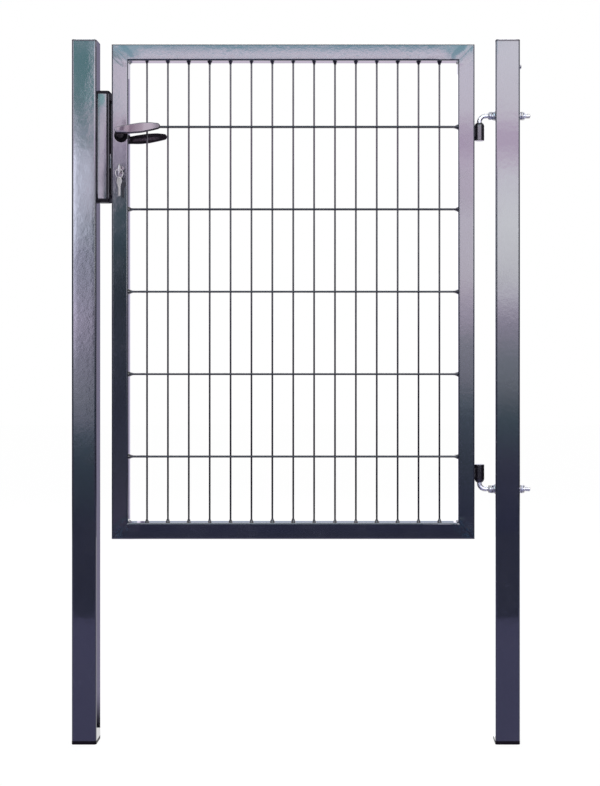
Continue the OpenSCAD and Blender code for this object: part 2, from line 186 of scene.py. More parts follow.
class Shading(Tree):
    """The node tree of a material or a world, emptied, with the nodes that finishes share."""

    def __init__(self, owner):
        self.owner = owner
        owner.use_nodes = True
        owner.node_tree.nodes.clear()
        super().__init__(owner.node_tree)

    def axes(self):
        place = self.node("ShaderNodeTexCoord")["Object"]
        parts = self.node("ShaderNodeSeparateXYZ", {"Vector": place})
        return parts["X"], parts["Y"], parts["Z"]

    def mix(self, factor, a, b, blend="MIX"):
        return self.node("ShaderNodeMix", {0: factor, 6: colour(a), 7: colour(b)},
                         data_type="RGBA", blend_type=blend, clamp_factor=True)[2]

    def ramp(self, factor, *stops):
        return self.node("ShaderNodeValToRGB", {"Fac": factor}, stops=stops)["Color"]

    def seen(self):
        """1 for rays that the camera sends, straight, mirrored or through something."""
        path = self.node("ShaderNodeLightPath")
        mirrored = path["Is Camera Ray"].at_least(path["Is Glossy Ray"])
        return mirrored.at_least(path["Is Transmission Ray"])

    def glow(self, tone, strength):
        return self.node("ShaderNodeEmission", {"Color": tone, "Strength": strength})["Emission"]

    def surface(self, shader, kind="Material"):
        self.node("ShaderNodeOutput" + kind, {"Surface": shader})
        return self.owner


class Finish(Shading):
    """A material under construction, with its noises and the bumps laid on it so far."""

    def __init__(self, name, ior=1.5, **constants):
        super().__init__(bpy.data.materials.new(name))
        constants = {k.replace("_", " "): v for k, v in constants.items()}
        self.shader = self.node("ShaderNodeBsdfPrincipled", {"IOR": ior, **constants})
        self.surface(self.shader["BSDF"])
        self.place = self.node("ShaderNodeTexCoord")["Object"]
        self.bumped = None

    def stretched(self, *scale):
        return self.node("ShaderNodeMapping", {"Vector": self.place, "Scale": scale})["Vector"]

    def noise(self, scale, detail=2.0, roughness=0.5, place=None, distortion=0.0):
        values = {"Vector": place or self.place, "Scale": scale, "Detail": detail,
                  "Roughness": roughness, "Distortion": distortion}
        return self.node("ShaderNodeTexNoise", values)["Fac"]

    def cells(self, scale, feature="F1"):
        return self.node("ShaderNodeTexVoronoi", {"Vector": self.place, "Scale": scale},
                         feature=feature)["Distance"]

    def bump(self, height, distance):
        values = {"Height": height, "Distance": distance, "Strength": 1.0}
        if self.bumped:
            values["Normal"] = self.bumped
        self.bumped = self.node("ShaderNodeBump", values)["Normal"]

    def done(self, **links):
        links["Normal"] = self.bumped
        for name, value in links.items():
            self.tree.links.new(value.socket, self.shader.node.inputs[name.replace("_", " ")])
        return self.owner


# ---- Finishes ----

MITRE_REACH = (46 * MM, 60 * MM)
# The painted highlight band on a lever's inner side: its slope, and where it fades in and out.
HIGHLIGHT_SLOPE = 0.09
HIGHLIGHT_RUN = (12 * MM, 24 * MM, 66 * MM, 88 * MM)


def weld_dressing(f):
    """Distance from the leaf's mitre welds, and a mask of the four corners around them."""
    x, _, z = f.axes()
    from_side = (LEAF.size.x / 2) - (x - LEAF.mid.x).size()
    from_end = (LEAF.size.z / 2) - (z - LEAF.mid.z).size()
    within = 1 - from_side.at_least(from_end).step(*MITRE_REACH)
    return (from_side - from_end).size(), within


def painted_lever_shade(f):
    """Painted shade on a lever's inner side, with a painted highlight band along its middle."""
    x, _, z = f.axes()
    out = x - AXIS_X
    away = (z - HANDLE_Z - out * HIGHLIGHT_SLOPE + 2.2 * MM).size()
    # Painted highlight: a pale band along the middle of the lever's painted shade.
    painted_highlight = (1 - away.step(1.5 * MM, 5 * MM)) * out.window(*HIGHLIGHT_RUN)
    painted_highlight = painted_highlight * (0.5 + f.noise(90, 3, 0.7))
    return f.mix(painted_highlight, (0.016, 0.009, 0.015), (0.115, 0.083, 0.112))


def powder_coat(name, base, peel=1.0, welds=False, gloss=1.0, coated=1.0, inside=0.0, skin=1.5):
    """Gloss powder coat: orange peel, faint mottling, dust and rub marks.

    Nearer the middle plane than inside, the tone is painted shade with a painted highlight band,
    and the coat is dull."""
    f = Finish(name, Specular_IOR_Level=gloss, Coat_Roughness=0.02, Coat_IOR=skin)
    fine = f.noise(300, 1.5, 0.45)
    swell = f.noise(70)
    sway = f.noise(9, 1, 0.5, f.stretched(1, 1, 0.4))
    cloud = f.noise(5, 5, 0.6)
    dust = f.noise(900, 2, 0.7) * f.noise(14, 4, 0.6).step(0.48, 0.72)
    rub = f.noise(60, 3, 0.6, f.stretched(1, 1, 0.05)).step(0.62, 0.78)
    for height, depth in ((sway, 0.9 * MM), (swell, 0.1 * MM), (fine, 0.03 * MM)):
        f.bump(height, depth * peel)
    tone = f.ramp(cloud, (0.25, shade(base, 0.86)), (0.50, base),
                  (0.78, shade(base, 1.16, 1.10, 1.12)))
    tone = f.mix(dust * 0.05, tone, (0.32, 0.31, 0.33))
    roughness = 0.03 + cloud * 0.05 + rub * 0.04 + dust * 0.08 + (1 - coated) * 0.15
    coat = coated - dust * 0.2 * coated
    if inside:
        # Painted shade, with a painted highlight band, on the side nearer the middle plane; there
        # the coat is also rougher and has no clear layer.
        dull = 1 - f.axes()[1].size().step(inside - 0.3 * MM, inside + 0.3 * MM)
        tone = f.mix(dull, tone, painted_lever_shade(f))
        roughness = roughness + dull * 0.75
        coat = coat * (1 - dull)
    if welds:
        off, within = weld_dressing(f)
        ground = (1 - off.step(10 * MM, 34 * MM)) * within
        groove = (1 - off.step(0.6 * MM, 4 * MM)) * within
        f.bump(f.noise(24, 1.5, 0.5, distortion=1.0) * ground, 0.9 * MM)
        f.bump(-groove, 0.1 * MM)
        smears = f.noise(75, 3, 0.6, distortion=1.5).step(0.42, 0.62) * ground
        tone = f.mix(smears * 0.5, tone, shade(base, 0.8, 1.9, 1.9))
        tone = f.mix(groove * 0.4, tone, shade(base, 0.45))
        roughness = roughness + ground * 0.05
    return f.done(Base_Color=tone, Roughness=roughness, Coat_Weight=coat)


def moulded_plastic(name, base, satin=0.34, grip=1.0, coat=0.0, gloss=0.5):
    """Black moulded plastic with a fine spark-eroded grain and handling marks."""
    f = Finish(name, 1.49, Specular_IOR_Level=gloss, Coat_Weight=coat, Coat_Roughness=0.06)
    grain = f.cells(2200) * 0.5 + f.noise(1500, 2, 0.6) * 0.5
    scuff = f.noise(90, 4, 0.7, f.stretched(1, 1, 0.3)).step(0.60, 0.80)
    cloud = f.noise(16, 4)
    f.bump(grain, 0.04 * MM * grip)
    tone = f.mix(cloud, shade(base, 0.75), shade(base, 1.35))
    tone = f.mix(scuff * 0.07, tone, (0.14, 0.14, 0.15))
    return f.done(Base_Color=tone, Roughness=satin + cloud * 0.14 + scuff * 0.16 + grain * 0.05)


def coated_steel_black(name, base, hammered, coat, gloss=0.5):
    """Semi-gloss black coat over a forged surface, thin at its rubbed places."""
    f = Finish(name, Specular_IOR_Level=gloss, Coat_Weight=coat, Coat_Roughness=0.08)
    cloud = f.noise(22, 4, 0.6)
    rub = f.noise(260, 4, 0.7).step(0.63, 0.74)
    f.bump(f.cells(160, "SMOOTH_F1"), 0.3 * MM * hammered)
    f.bump(f.noise(380), 0.1 * MM * hammered)
    tone = f.mix(cloud, shade(base, 0.7), shade(base, 1.4))
    tone = f.mix(rub * 0.25 * hammered, tone, (0.10, 0.10, 0.11))
    return f.done(Base_Color=tone, Roughness=0.20 + cloud * 0.14 + rub * 0.15)


def zinc_plate(name, base, satin):
    """Bright zinc: yellow and blue passivation clouds, drawing marks and dull spots."""
    f = Finish(name)
    cloud = f.noise(45, 4, 0.6)
    dull = 1 - f.cells(520).step(0.10, 0.30)
    drawn = f.noise(900, 2, 0.6, f.stretched(0.06, 1, 1))
    f.bump(drawn, 0.03 * MM)
    f.bump(f.noise(700), 0.03 * MM)
    tone = f.ramp(f.noise(120, 3, distortion=0.4), (0.30, shade(base, 0.93, 0.97, 1.08)),
                  (0.50, base), (0.72, shade(base, 1.05, 1.0, 0.86)))
    tone = f.mix(dull * 0.35, tone, shade(base, 0.45))
    tone = f.mix(cloud * 0.25, tone, shade(base, 0.7))
    roughness = satin + cloud * 0.16 + dull * 0.2 + drawn * 0.05
    return f.done(Base_Color=tone, Roughness=roughness, Metallic=1 - dull * 0.2)


def brushed_stainless(name, base, worn):
    """Stainless with a grain along its length, finger marks and fine scratches."""
    f = Finish(name)
    grain = f.noise(1800, 3, 0.7, f.stretched(1, 1, 0.02))
    smear = f.noise(40, 3, 0.6).step(0.45, 0.75)
    scratch = f.noise(420, 2, 0.6, f.stretched(0.2, 1, 1)).step(0.70, 0.74)
    f.bump(grain, 0.02 * MM)
    tone = f.mix(grain * 0.5, base, shade(base, 0.80))
    tone = f.mix(smear * 0.2, tone, shade(base, 0.9, 0.87, 0.84))
    roughness = 0.22 + worn + grain * 0.12 + smear * 0.10 + scratch * 0.12
    return f.done(Base_Color=tone, Roughness=roughness, Metallic=1 - scratch * 0.05)


def plated_nickel(name, base, metal=1.0):
    """Nickel plate with fine turning lines, tarnish clouds and pin marks."""
    f = Finish(name)
    cloud = f.noise(130, 4, 0.6)
    marks = f.noise(900, 3, 0.7).step(0.64, 0.70)
    f.bump(f.noise(2200, 2, 0.5, f.stretched(1, 0.1, 1)), 0.012 * MM)
    tone = f.mix(cloud * 0.6, base, shade(base, 0.86, 0.82, 0.74))
    tone = f.mix(marks * 0.35, tone, shade(base, 0.4))
    return f.done(Base_Color=tone, Roughness=0.04 + cloud * 0.06 + marks * 0.2,
                  Metallic=(1 - marks * 0.1) * metal)


ANTHRACITE = (0.027, 0.031, 0.049)
NEAR_BLACK = (0.010, 0.007, 0.011)
FRAME_COAT = powder_coat("gloss_anthracite_coat_on_frame", ANTHRACITE, peel=0.8, welds=True)
POST_COAT = powder_coat("gloss_anthracite_coat_on_posts", ANTHRACITE)
WIRE_COAT = powder_coat("anthracite_coat_on_wires", (0.012, 0.010, 0.016), peel=0.3,
                        gloss=0.4, coated=0.8)
# Lever coats: inside is the distance from the middle plane within which the lever is painted in
# shade (front lever: edges, inner side and neck; back lever: inner side and neck).
LEVER_COAT = powder_coat("gloss_anthracite_coat_on_levers", (0.030, 0.030, 0.042), peel=0.06,
                         gloss=0.35, inside=69 * MM, skin=1.86)
BACK_LEVER_COAT = powder_coat("anthracite_coat_on_back_lever", (0.030, 0.028, 0.042), peel=0.4,
                              gloss=0.15, inside=63 * MM)
STRIP_COAT = powder_coat("gloss_anthracite_coat_on_keep", (0.030, 0.032, 0.046), peel=0.5)
BLACK_PLASTIC = moulded_plastic("moulded_black_plastic", (0.008, 0.005, 0.009), gloss=0.12)
CAP_PLASTIC = moulded_plastic("polished_black_plastic", (0.016, 0.012, 0.018),
                              satin=0.12, grip=0.3, coat=1.0)
MATTE_BLACK = moulded_plastic("matte_black_coat", (0.005, 0.004, 0.006),
                              satin=0.60, grip=0.6, gloss=0.08)
BLACK_STEEL = coated_steel_black("black_coated_steel", NEAR_BLACK,
                                 hammered=0.6, coat=0.3, gloss=0.3)
BARREL_COAT = coated_steel_black("black_coat_on_barrels", NEAR_BLACK, hammered=0.25, coat=1.0)
ZINC = zinc_plate("bright_zinc_plate", (0.80, 0.80, 0.82), satin=0.36)
SCREW_ZINC = zinc_plate("zinc_on_screws", (0.40, 0.40, 0.43), satin=0.10)
LATCH_STEEL = brushed_stainless("worn_latch_steel", (0.88, 0.86, 0.89), worn=0.06)
NICKEL = plated_nickel("nickel_plate", (0.96, 0.95, 0.97), metal=0.15)
CYLINDER_NICKEL = plated_nickel("satin_nickel_on_cylinder", (0.20, 0.19, 0.20))


# ---- Mesh work ----

SMOOTH_ANGLE = 38
NEARLY = 0.999


def in_scene(name, data):
    made = bpy.data.objects.new(name, data)
    bpy.context.scene.collection.objects.link(made)
    return made


def evaluated(holder):
    """The mesh that an object ends up with. The object itself goes."""
    bpy.context.view_layer.update()
    graph = bpy.context.evaluated_depsgraph_get()
    mesh = bpy.data.meshes.new_from_object(holder.evaluated_get(graph))
    bpy.data.objects.remove(holder)
    return mesh


def loose(mesh):
    """A mesh as an editable one. The mesh itself goes."""
    bm = bmesh.new()
    bm.from_mesh(mesh)
    bpy.data.meshes.remove(mesh)
    return bm


def arc(r, start, sweep, steps, centre=(0, 0)):
    """Points of an arc, with both its ends."""
    turns = [start + sweep * k / steps for k in range(steps + 1)]
    return [(centre[0] + r * math.cos(a), centre[1] + r * math.sin(a)) for a in turns]


def circle(r, sides, centre=(0, 0), deep=None):
    """Points of a circle, or of an oval with another radius in its second direction."""
    turns = [TAU * i / sides for i in range(sides)]
    return [(centre[0] + r * math.cos(a), centre[1] + (deep or r) * math.sin(a)) for a in turns]


def ring(r, z, sides, deep=None):
    """The same around the Z axis at height z, or one point at radius 0."""
    return [Vector((x, y, z)) for x, y in circle(r, sides if r else 1, deep=deep)]


def loft(rings, closed=False):
    """A skin over rings of points, where a ring of one point is a pole.

    A closed one runs back to its first ring. Others get a face at either end."""
    bm = bmesh.new()
    made = [[bm.verts.new(p) for p in points] for points in rings]
    for a, b in zip(made, made[1:] + made[:1] * closed):
        n = max(len(a), len(b))
        for i in range(n if n > 1 else 0):
            k = (i + 1) % n
            if len(a) == 1:
                bm.faces.new((a[0], b[k], b[i]))
            elif len(b) == 1:
                bm.faces.new((a[i], a[k], b[0]))
            else:
                bm.faces.new((a[i], a[k], b[k], b[i]))
    for end in () if closed else (made[0], made[-1]):
        if len(end) > 2:
            bm.faces.new(end)
    return bm


def turned(profile, place, sides, closed=False):
    """A lathe piece: radius and height pairs, in millimetres, around the Z axis of place."""
    return loft([[place @ p for p in ring(r * MM, h * MM, sides)] for r, h in profile], closed)


def swept(path, radii, sides):
    """A round bar along a path of points."""
    rings, side = [], None
    for i, (p, r) in enumerate(zip(path, radii)):
        ahead = (path[min(i + 1, len(path) - 1)] - path[max(i - 1, 0)]).normalized()
        side = side or ahead.orthogonal().normalized()
        side = (side - ahead * side.dot(ahead)).normalized()
        up = ahead.cross(side)
        rings.append([p + (side * c.x + up * c.y) * r for c in ring(1.0, 0, sides)])
    return loft(rings)


def rounded_rect(w, h, r, centre, steps=6):
    """Outline of a rectangle whose corners are arcs, which stop just short of its middles."""
    r = min(r, w / 2 * NEARLY, h / 2 * NEARLY)
    points = []
    for q, (sx, sy) in enumerate(((1, 1), (-1, 1), (-1, -1), (1, -1))):
        corner = centre[0] + sx * (w / 2 - r), centre[1] + sy * (h / 2 - r)
        points += arc(r, q * QUARTER, QUARTER, steps, corner)
    return points


def square_ring(half, corner, centre_x, height):
    """Points of a square with round corners. Height is a number or a rule for each point."""
    flat = rounded_rect(2 * half, 2 * half, corner, (centre_x, 0))
    return [Vector((x, y, height(x, y) if callable(height) else height)) for x, y in flat]


def slab(outlines, thickness, bevel, place):
    """A flat piece with bevelled edges. The first outline is its edge, the others are holes."""
    curve = bpy.data.curves.new("slab", "CURVE")
    curve.dimensions = "2D"
    curve.fill_mode = "BOTH"
    for outline in outlines:
        spline = curve.splines.new("POLY")
        spline.points.add(len(outline) - 1)
        for point, (x, y) in zip(spline.points, outline):
            point.co = (x, y, 0, 1)
        spline.use_cyclic_u = True
    curve.extrude = thickness / 2 - bevel
    curve.bevel_depth = bevel
    curve.offset = -bevel
    curve.bevel_resolution = 2
    mesh = evaluated(in_scene("slab", curve))
    mesh.transform(place)
    bpy.data.curves.remove(curve)
    return loose(mesh)


def block(low, high, bevel, segments=2):
    """A block between two corners with rounded edges."""
    bm = bmesh.new()
    bmesh.ops.create_cube(bm, size=1.0)
    low, high = Vector(low), Vector(high)
    for v in bm.verts:
        v.co = (low + high) / 2 + v.co * (high - low)
    bmesh.ops.bevel(bm, geom=bm.edges[:], offset=bevel, segments=segments,
                    affect="EDGES", profile=0.5)
    return bm


def merged(*parts):
    """Several mesh parts in one."""
    bm = bmesh.new()
    for part in parts:
        scratch = bpy.data.meshes.new("part")
        part.to_mesh(scratch)
        part.free()
        bm.from_mesh(scratch)
        bpy.data.meshes.remove(scratch)
    return bm


def tidy_mesh(bm, name, smooth_angle):
    """A mesh without doubled points, its faces outward and its sharp edges marked."""
    bmesh.ops.remove_doubles(bm, verts=bm.verts, dist=1e-6)
    bmesh.ops.dissolve_degenerate(bm, edges=bm.edges, dist=1e-7)
    bmesh.ops.recalc_face_normals(bm, faces=bm.faces)
    mesh = bpy.data.meshes.new(name)
    bm.to_mesh(mesh)
    bm.free()
    mesh.shade_smooth()
    mesh.set_sharp_from_angle(angle=math.radians(smooth_angle))
    return mesh


def flats_kept_flat(mesh):
    """Weights the normals by face size, so that broad faces shade flat up to their round edges."""
    holder = in_scene("shaded", mesh)
    holder.modifiers.new("weighted", "WEIGHTED_NORMAL").keep_sharp = True
    shaded = evaluated(holder)
    bpy.data.meshes.remove(mesh)
    return shaded


def piece(name, shape, finish, body, slot, *nodes, smooth_angle=SMOOTH_ANGLE):
    """Puts a finished piece on its body and hides the nodes that it stands for."""
    if isinstance(shape, bmesh.types.BMesh):
        shape = tidy_mesh(shape, name, smooth_angle)
    mesh = flats_kept_flat(shape)
    mesh.name = name
    mesh.materials.clear()
    mesh.materials.append(finish)
    made = in_scene(name, mesh)
    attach(made, body)
    if nodes:
        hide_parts(*nodes)


def finish_node(finish, *nodes):
    """Gives nodes whose shape stays a finish of this script."""
    for name in nodes:
        node = frame["nodes"][name]
        node.data.materials.clear()
        node.data.materials.append(finish)


def facing(direction, origin, track="Z"):
    """A place whose Z axis, or another one, points along direction."""
    turn = Vector(direction).to_track_quat(track, "Y").to_matrix().to_4x4()
    return Matrix.Translation(origin) @ turn


def on_leaf(side):
    """The handle's axis at the leaf's front or back face, its Z axis outward."""
    return facing((0, side, 0), (AXIS_X, side * FRAME_FACE, HANDLE_Z))


def shifted(x=0.0, y=0.0, z=0.0):
    return Matrix.Translation((x, y, z))


# Places whose first two axes lie along X and Z, or along Y and Z.
TO_XZ = Matrix(((1, 0, 0, 0), (0, 0, -1, 0), (0, 1, 0, 0), (0, 0, 0, 1)))
TO_YZ = Matrix(((0, 0, 1, 0), (1, 0, 0, 0), (0, 1, 0, 0), (0, 0, 0, 1)))


# ---- Geometry Nodes ----

class Grower(Tree):
    """A Geometry Nodes tree with named inputs for its sizes."""

    KINDS = {float: "Float", int: "Int", "finish": "Material", "piece": "Object"}

    def __init__(self, name, **inputs):
        super().__init__(bpy.data.node_groups.new(name, "GeometryNodeTree"))
        self.keys = {}
        self.socket("Geometry", "Geometry", "OUTPUT")
        self.socket("Geometry", "Geometry")
        for label, kind in {**inputs, "Finish": "finish"}.items():
            self.keys[label] = self.socket(label.replace("_", " "), self.KINDS[kind])
        self.entry = self.node("NodeGroupInput")

    def socket(self, label, kind, side="INPUT"):
        return self.tree.interface.new_socket(
            label, in_out=side, socket_type="NodeSocket" + kind).identifier

    def geometry(self, kind, values=None, result="Geometry", **settings):
        return self.node("GeometryNode" + kind, values, **settings)[result]

    def __getitem__(self, label):
        return self.entry[label]

    def vector(self, **parts):
        return self.node("ShaderNodeCombineXYZ", parts)["Vector"]

    def vector_math(self, operation, *values, **scale):
        numbered = {**dict(enumerate(values)), **scale}
        return self.node("ShaderNodeVectorMath", numbered, operation=operation)["Vector"]

    def moved(self, geometry, **values):
        return self.geometry("Transform", {"Geometry": geometry, **values})

    def spread(self, points, thing):
        return self.geometry("InstanceOnPoints", {"Points": points, "Instance": thing},
                             "Instances")

    def joined(self, *geometries):
        join = self.node("GeometryNodeJoinGeometry")
        for geometry in reversed(geometries):
            self.tree.links.new(geometry.socket, join.node.inputs[0])
        return join["Geometry"]

    def on_both_sides(self, geometry, offset):
        return self.joined(*[self.moved(geometry, Translation=self.vector(Y=offset * s))
                             for s in (-1, 1)])

    def end(self, geometry):
        real = self.geometry("RealizeInstances", {"Geometry": geometry})
        real = self.geometry("SetMaterial", {"Geometry": real, "Material": self["Finish"]})
        self.node("NodeGroupOutput", {0: real})
        return self

    def grow(self, start, finish, smooth_angle, **values):
        """Runs the tree on a start mesh, if it has one, and gives the result as a plain mesh."""
        holder = in_scene("grower", start or bpy.data.meshes.new("start"))
        modifier = holder.modifiers.new("tree", "NODES")
        modifier.node_group = self.tree
        for label, value in {**values, "Finish": finish}.items():
            modifier[self.keys[label]] = value
        return tidy_mesh(loose(evaluated(holder)), "grown", smooth_angle)


def wires_tree():
    """Upright wires between pairs of cross wires, with the bead that each weld pushes out."""
    g = Grower("welded_wires", Upright_Count=int, Upright_Pitch=float, Upright_Diameter=float,
               Upright_Length=float, Cross_Count=int, Cross_Pitch=float, Cross_Diameter=float,
               Cross_Length=float, Cross_Offset=float, Bead=float, Seed=int)

    def row(kind, axis):
        pitch = g[kind + " Pitch"]
        start = g.vector(**{axis: (g[kind + " Count"] - 1) * pitch * -0.5})
        return g.geometry("MeshLine", {"Count": g[kind + " Count"], "Start Location": start,
                                       "Offset": g.vector(**{axis: pitch})}, "Mesh", mode="OFFSET")

    def wire(kind, rings, turn):
        bar = g.geometry("MeshCylinder", {
            "Vertices": 14, "Side Segments": rings, "Radius": g[kind + " Diameter"] * 0.5,
            "Depth": g[kind + " Length"]}, "Mesh", fill_type="NGON")
        return g.moved(bar, Rotation=(0, turn, 0))

    columns, rows = row("Upright", "X"), row("Cross", "Z")
    uprights = g.spread(columns, wire("Upright", 90, 0))
    crosses = g.spread(rows, wire("Cross", 70, QUARTER))
    bead = g.geometry("MeshIcoSphere", {"Radius": g["Bead"], "Subdivisions": 2}, "Mesh")
    bead = g.moved(bead, Scale=(1.25, 0.62, 1.0))
    column = g.geometry("RealizeInstances", {"Geometry": g.spread(columns, bead)})
    beads = g.on_both_sides(g.spread(rows, column), g["Upright Diameter"] * 0.44)
    crosses = g.on_both_sides(crosses, g["Cross Offset"])
    grown = g.geometry("RealizeInstances", {"Geometry": g.joined(uprights, crosses, beads)})
    waver = g.node("ShaderNodeTexNoise", {"W": g["Seed"], "Scale": 60.0, "Detail": 1.0},
                   noise_dimensions="4D")["Color"]
    waver = g.vector_math("SUBTRACT", waver, (0.5, 0.5, 0.5))
    waver = g.vector_math("MULTIPLY", waver, (0.3 * MM, 0.3 * MM, 0.0))
    return g.end(g.geometry("SetPosition", {"Geometry": grown, "Offset": waver}))


def repeat_tree():
    """One piece at every point, with the point's own turn and small changes by chance."""
    g = Grower("repeat_a_piece", Piece="piece", Size_Change=float, Turn_Change=float, Seed=int)
    thing = g.geometry("ObjectInfo", {"Object": g["Piece"]}, transform_space="ORIGINAL")

    def rotation(euler):
        return g.node("FunctionNodeEulerToRotation", {"Euler": euler})["Rotation"]

    change = g.node("FunctionNodeRandomValue", {0: (-1, -1, -1), 1: (1, 1, 1), "Seed": g["Seed"]},
                    data_type="FLOAT_VECTOR")["Value"]
    change = g.vector_math("SCALE", change, Scale=g["Size Change"])
    size = g.vector_math("ADD", change, (1, 1, 1))
    own_turn = g.geometry("InputNamedAttribute", {"Name": "turn"}, "Attribute",
                          data_type="FLOAT_VECTOR")
    swing = g.node("FunctionNodeRandomValue", {2: -1.0, 3: 1.0, "Seed": g["Seed"] + 7},
                   data_type="FLOAT")[1]
    turn = g.node("FunctionNodeRotateRotation", {
        "Rotation": rotation(own_turn),
        "Rotate By": rotation(g.vector(Z=g["Turn Change"] * swing))},
        rotation_space="LOCAL")["Rotation"]
    return g.end(g.geometry("InstanceOnPoints", {
        "Points": g["Geometry"], "Instance": thing, "Rotation": turn, "Scale": size}, "Instances"))


def thread_tree():
    """A screw thread: a ridge that winds around a rod along Z."""
    g = Grower("screw_thread", Radius=float, Pitch=float, Length=float, Depth=float)
    coil = g.geometry("CurveSpiral", {
        "Resolution": 28, "Rotations": g["Length"] / g["Pitch"], "Start Radius": g["Radius"],
        "End Radius": g["Radius"], "Height": g["Length"]}, "Curve")
    tooth = g.geometry("CurvePrimitiveCircle", {"Resolution": 3, "Radius": g["Depth"]}, "Curve",
                       mode="RADIUS")
    return g.end(g.geometry("CurveToMesh", {
        "Curve": coil, "Profile Curve": tooth, "Fill Caps": True}, "Mesh"))


def bead_tree():
    """A weld bead along a path, with its ripples and uneven width."""
    g = Grower("weld_bead", Width=float, Ripple=float, Unevenness=float, Seed=int)
    path = g.geometry("MeshToCurve", {"Mesh": g["Geometry"]}, "Curve")
    path = g.geometry("ResampleCurve", {"Curve": path, "Length": g["Ripple"] * 0.25}, "Curve",
                      mode="LENGTH")
    phase = g.geometry("SplineParameter", result="Length") / g["Ripple"] * TAU
    noise = g.node("ShaderNodeTexNoise", {"W": g["Seed"], "Scale": 220.0},
                   noise_dimensions="4D")["Fac"] - 0.5
    wide = g["Width"] * 0.5 * (1 + phase.math("SINE", phase) * 0.10 + noise * g["Unevenness"])
    path = g.geometry("SetCurveRadius", {"Curve": path, "Radius": wide}, "Curve")
    around = g.geometry("CurvePrimitiveCircle", {"Resolution": 10, "Radius": 1.0}, "Curve",
                        mode="RADIUS")
    return g.end(g.geometry("CurveToMesh", {
        "Curve": path, "Profile Curve": around, "Fill Caps": True,
        "Scale": g.geometry("InputRadius", result="Radius")}, "Mesh"))


REPEAT = repeat_tree()
THREAD = thread_tree()
BEAD = bead_tree()


def repeated(bm, finish, places, size_change=0.0, turn_change=0.0, seed=1,
             smooth_angle=SMOOTH_ANGLE):
    """Copies of one piece at places, each a point and a turn."""
    points = bpy.data.meshes.new("places")
    points.from_pydata([at for at, _ in places], [], [])
    turns = points.attributes.new("turn", "FLOAT_VECTOR", "POINT")
    turns.data.foreach_set("vector", [c for _, turn in places for c in turn])
    mesh = tidy_mesh(bm, "one", smooth_angle)
    one = in_scene("one", mesh)
    grown = REPEAT.grow(points, finish, smooth_angle, Piece=one, Size_Change=size_change,
                        Turn_Change=turn_change, Seed=seed)
    bpy.data.objects.remove(one)
    bpy.data.meshes.remove(mesh)
    return grown


def bead_along(paths, finish, width, ripple, unevenness, seed):
    """Weld beads along lines of points."""
    points, edges = [], []
    for path in paths:
        edges += [(len(points) + i, len(points) + i + 1) for i in range(len(path) - 1)]
        points += path
    mesh = bpy.data.meshes.new("paths")
    mesh.from_pydata(points, edges, [])
    return BEAD.grow(mesh, finish, 60, Width=width, Ripple=ripple, Unevenness=unevenness,
                     Seed=seed)


# ---- Posts ----

def post_ring(centre_x, inset, corner, height):
    """A square ring around a post's axis, its inset and corner in millimetres."""
    return square_ring(POST_SIDE / 2 - inset * MM, corner * MM, centre_x, height)


def domed_cap(centre_x, z):
    """Moulded cap: a plug, a lip gap over the tube, a straight collar and a crowned top."""
    half, corner, collar, rise = POST_SIDE / 2, POST_CORNER / MM, 4 * MM, 6 * MM
    crown, dome_w = z + collar + rise, POST_SIDE * 0.68
    dome_r = (dome_w ** 2 + rise ** 2) / (2 * rise)

    def dome(below=0.0, floor=z):
        def height(x, y):
            drop = dome_r - math.sqrt(dome_r ** 2 - (x - centre_x) ** 2 - y ** 2)
            return max(crown - drop - below, floor)
        return height

    plug = ((3.0, 2.0, -6.0), (2.4, 2.6, 0.0))
    lip = tuple((inset, corner - inset, up) for inset, up in ((0.9, 0.05), (0.3, 0.5), (0.0, 1.1)))
    rings = [post_ring(centre_x, inset, r, z + up * MM) for inset, r, up in plug + lip]
    rings += [post_ring(centre_x, inset, corner - inset, dome(below * MM, z + 1.2 * MM))
              for inset, below in ((0, 1.0), (0.25, 0.35), (0.8, 0.0))]
    rings += [square_ring(half * share, POST_CORNER * share, centre_x, dome())
              for share in (0.85, 0.7, 0.5, 0.3, 0.12)]
    return loft(rings + [[Vector((centre_x, 0, crown))]])


def moulded_foot(centre_x, z):
    """Foot plug: a collar with a rounded lower edge, a shadow gap under the tube and a plug."""
    levels = ((3.4, 30), (3.4, 9.5), (3.2, 9.0), (0.7, 8.95), (0.25, 8.5), (0.0, 7.6),
              (0.0, 1.2), (0.3, 0.4), (1.0, 0.0))
    return loft([post_ring(centre_x, inset, max(POST_CORNER / MM - inset, 1.2), z + up * MM)
                 for inset, up in levels])


def make_posts():
    finish_node(POST_COAT, "lock_post", "hinge_post")
    for side, span in (("lock", LOCK_POST), ("hinge", HINGE_POST)):
        piece(f"{side}_post_domed_cap", domed_cap(span.mid.x, span.high.z), CAP_PLASTIC,
              "posts", "black_plastic", f"{side}_post_cap")
        piece(f"{side}_post_foot_plug", moulded_foot(span.mid.x, 0.0), BLACK_PLASTIC,
              "posts", "black_plastic", f"{side}_post_foot")


# ---- Keep ----

def keep_cap(span, up):
    """End cap of the keep: square at the post, round in front, with a soft outer end."""
    inner, r = span.low.z if up > 0 else span.high.z, 5 * MM
    rings = []
    for inset, out in ((0.4, 0.0), (0.0, 0.5), (0.0, 16.6), (0.3, 18.2), (1.0, 19.3), (2.2, 19.9),
                       (3.0, 20.0)):
        w, d = span.size.x / 2 - inset * MM, span.size.y / 2 - inset * MM
        side = arc(r, QUARTER, -QUARTER, 6, (w - r, d - r))
        points = [(-w, d)] + side + [(x, -y) for x, y in reversed(side)] + [(-w, -d)]
        rings.append([span.mid + Vector((x, y, inner + up * out * MM - span.mid.z))
                      for x, y in points])
    return loft(rings)


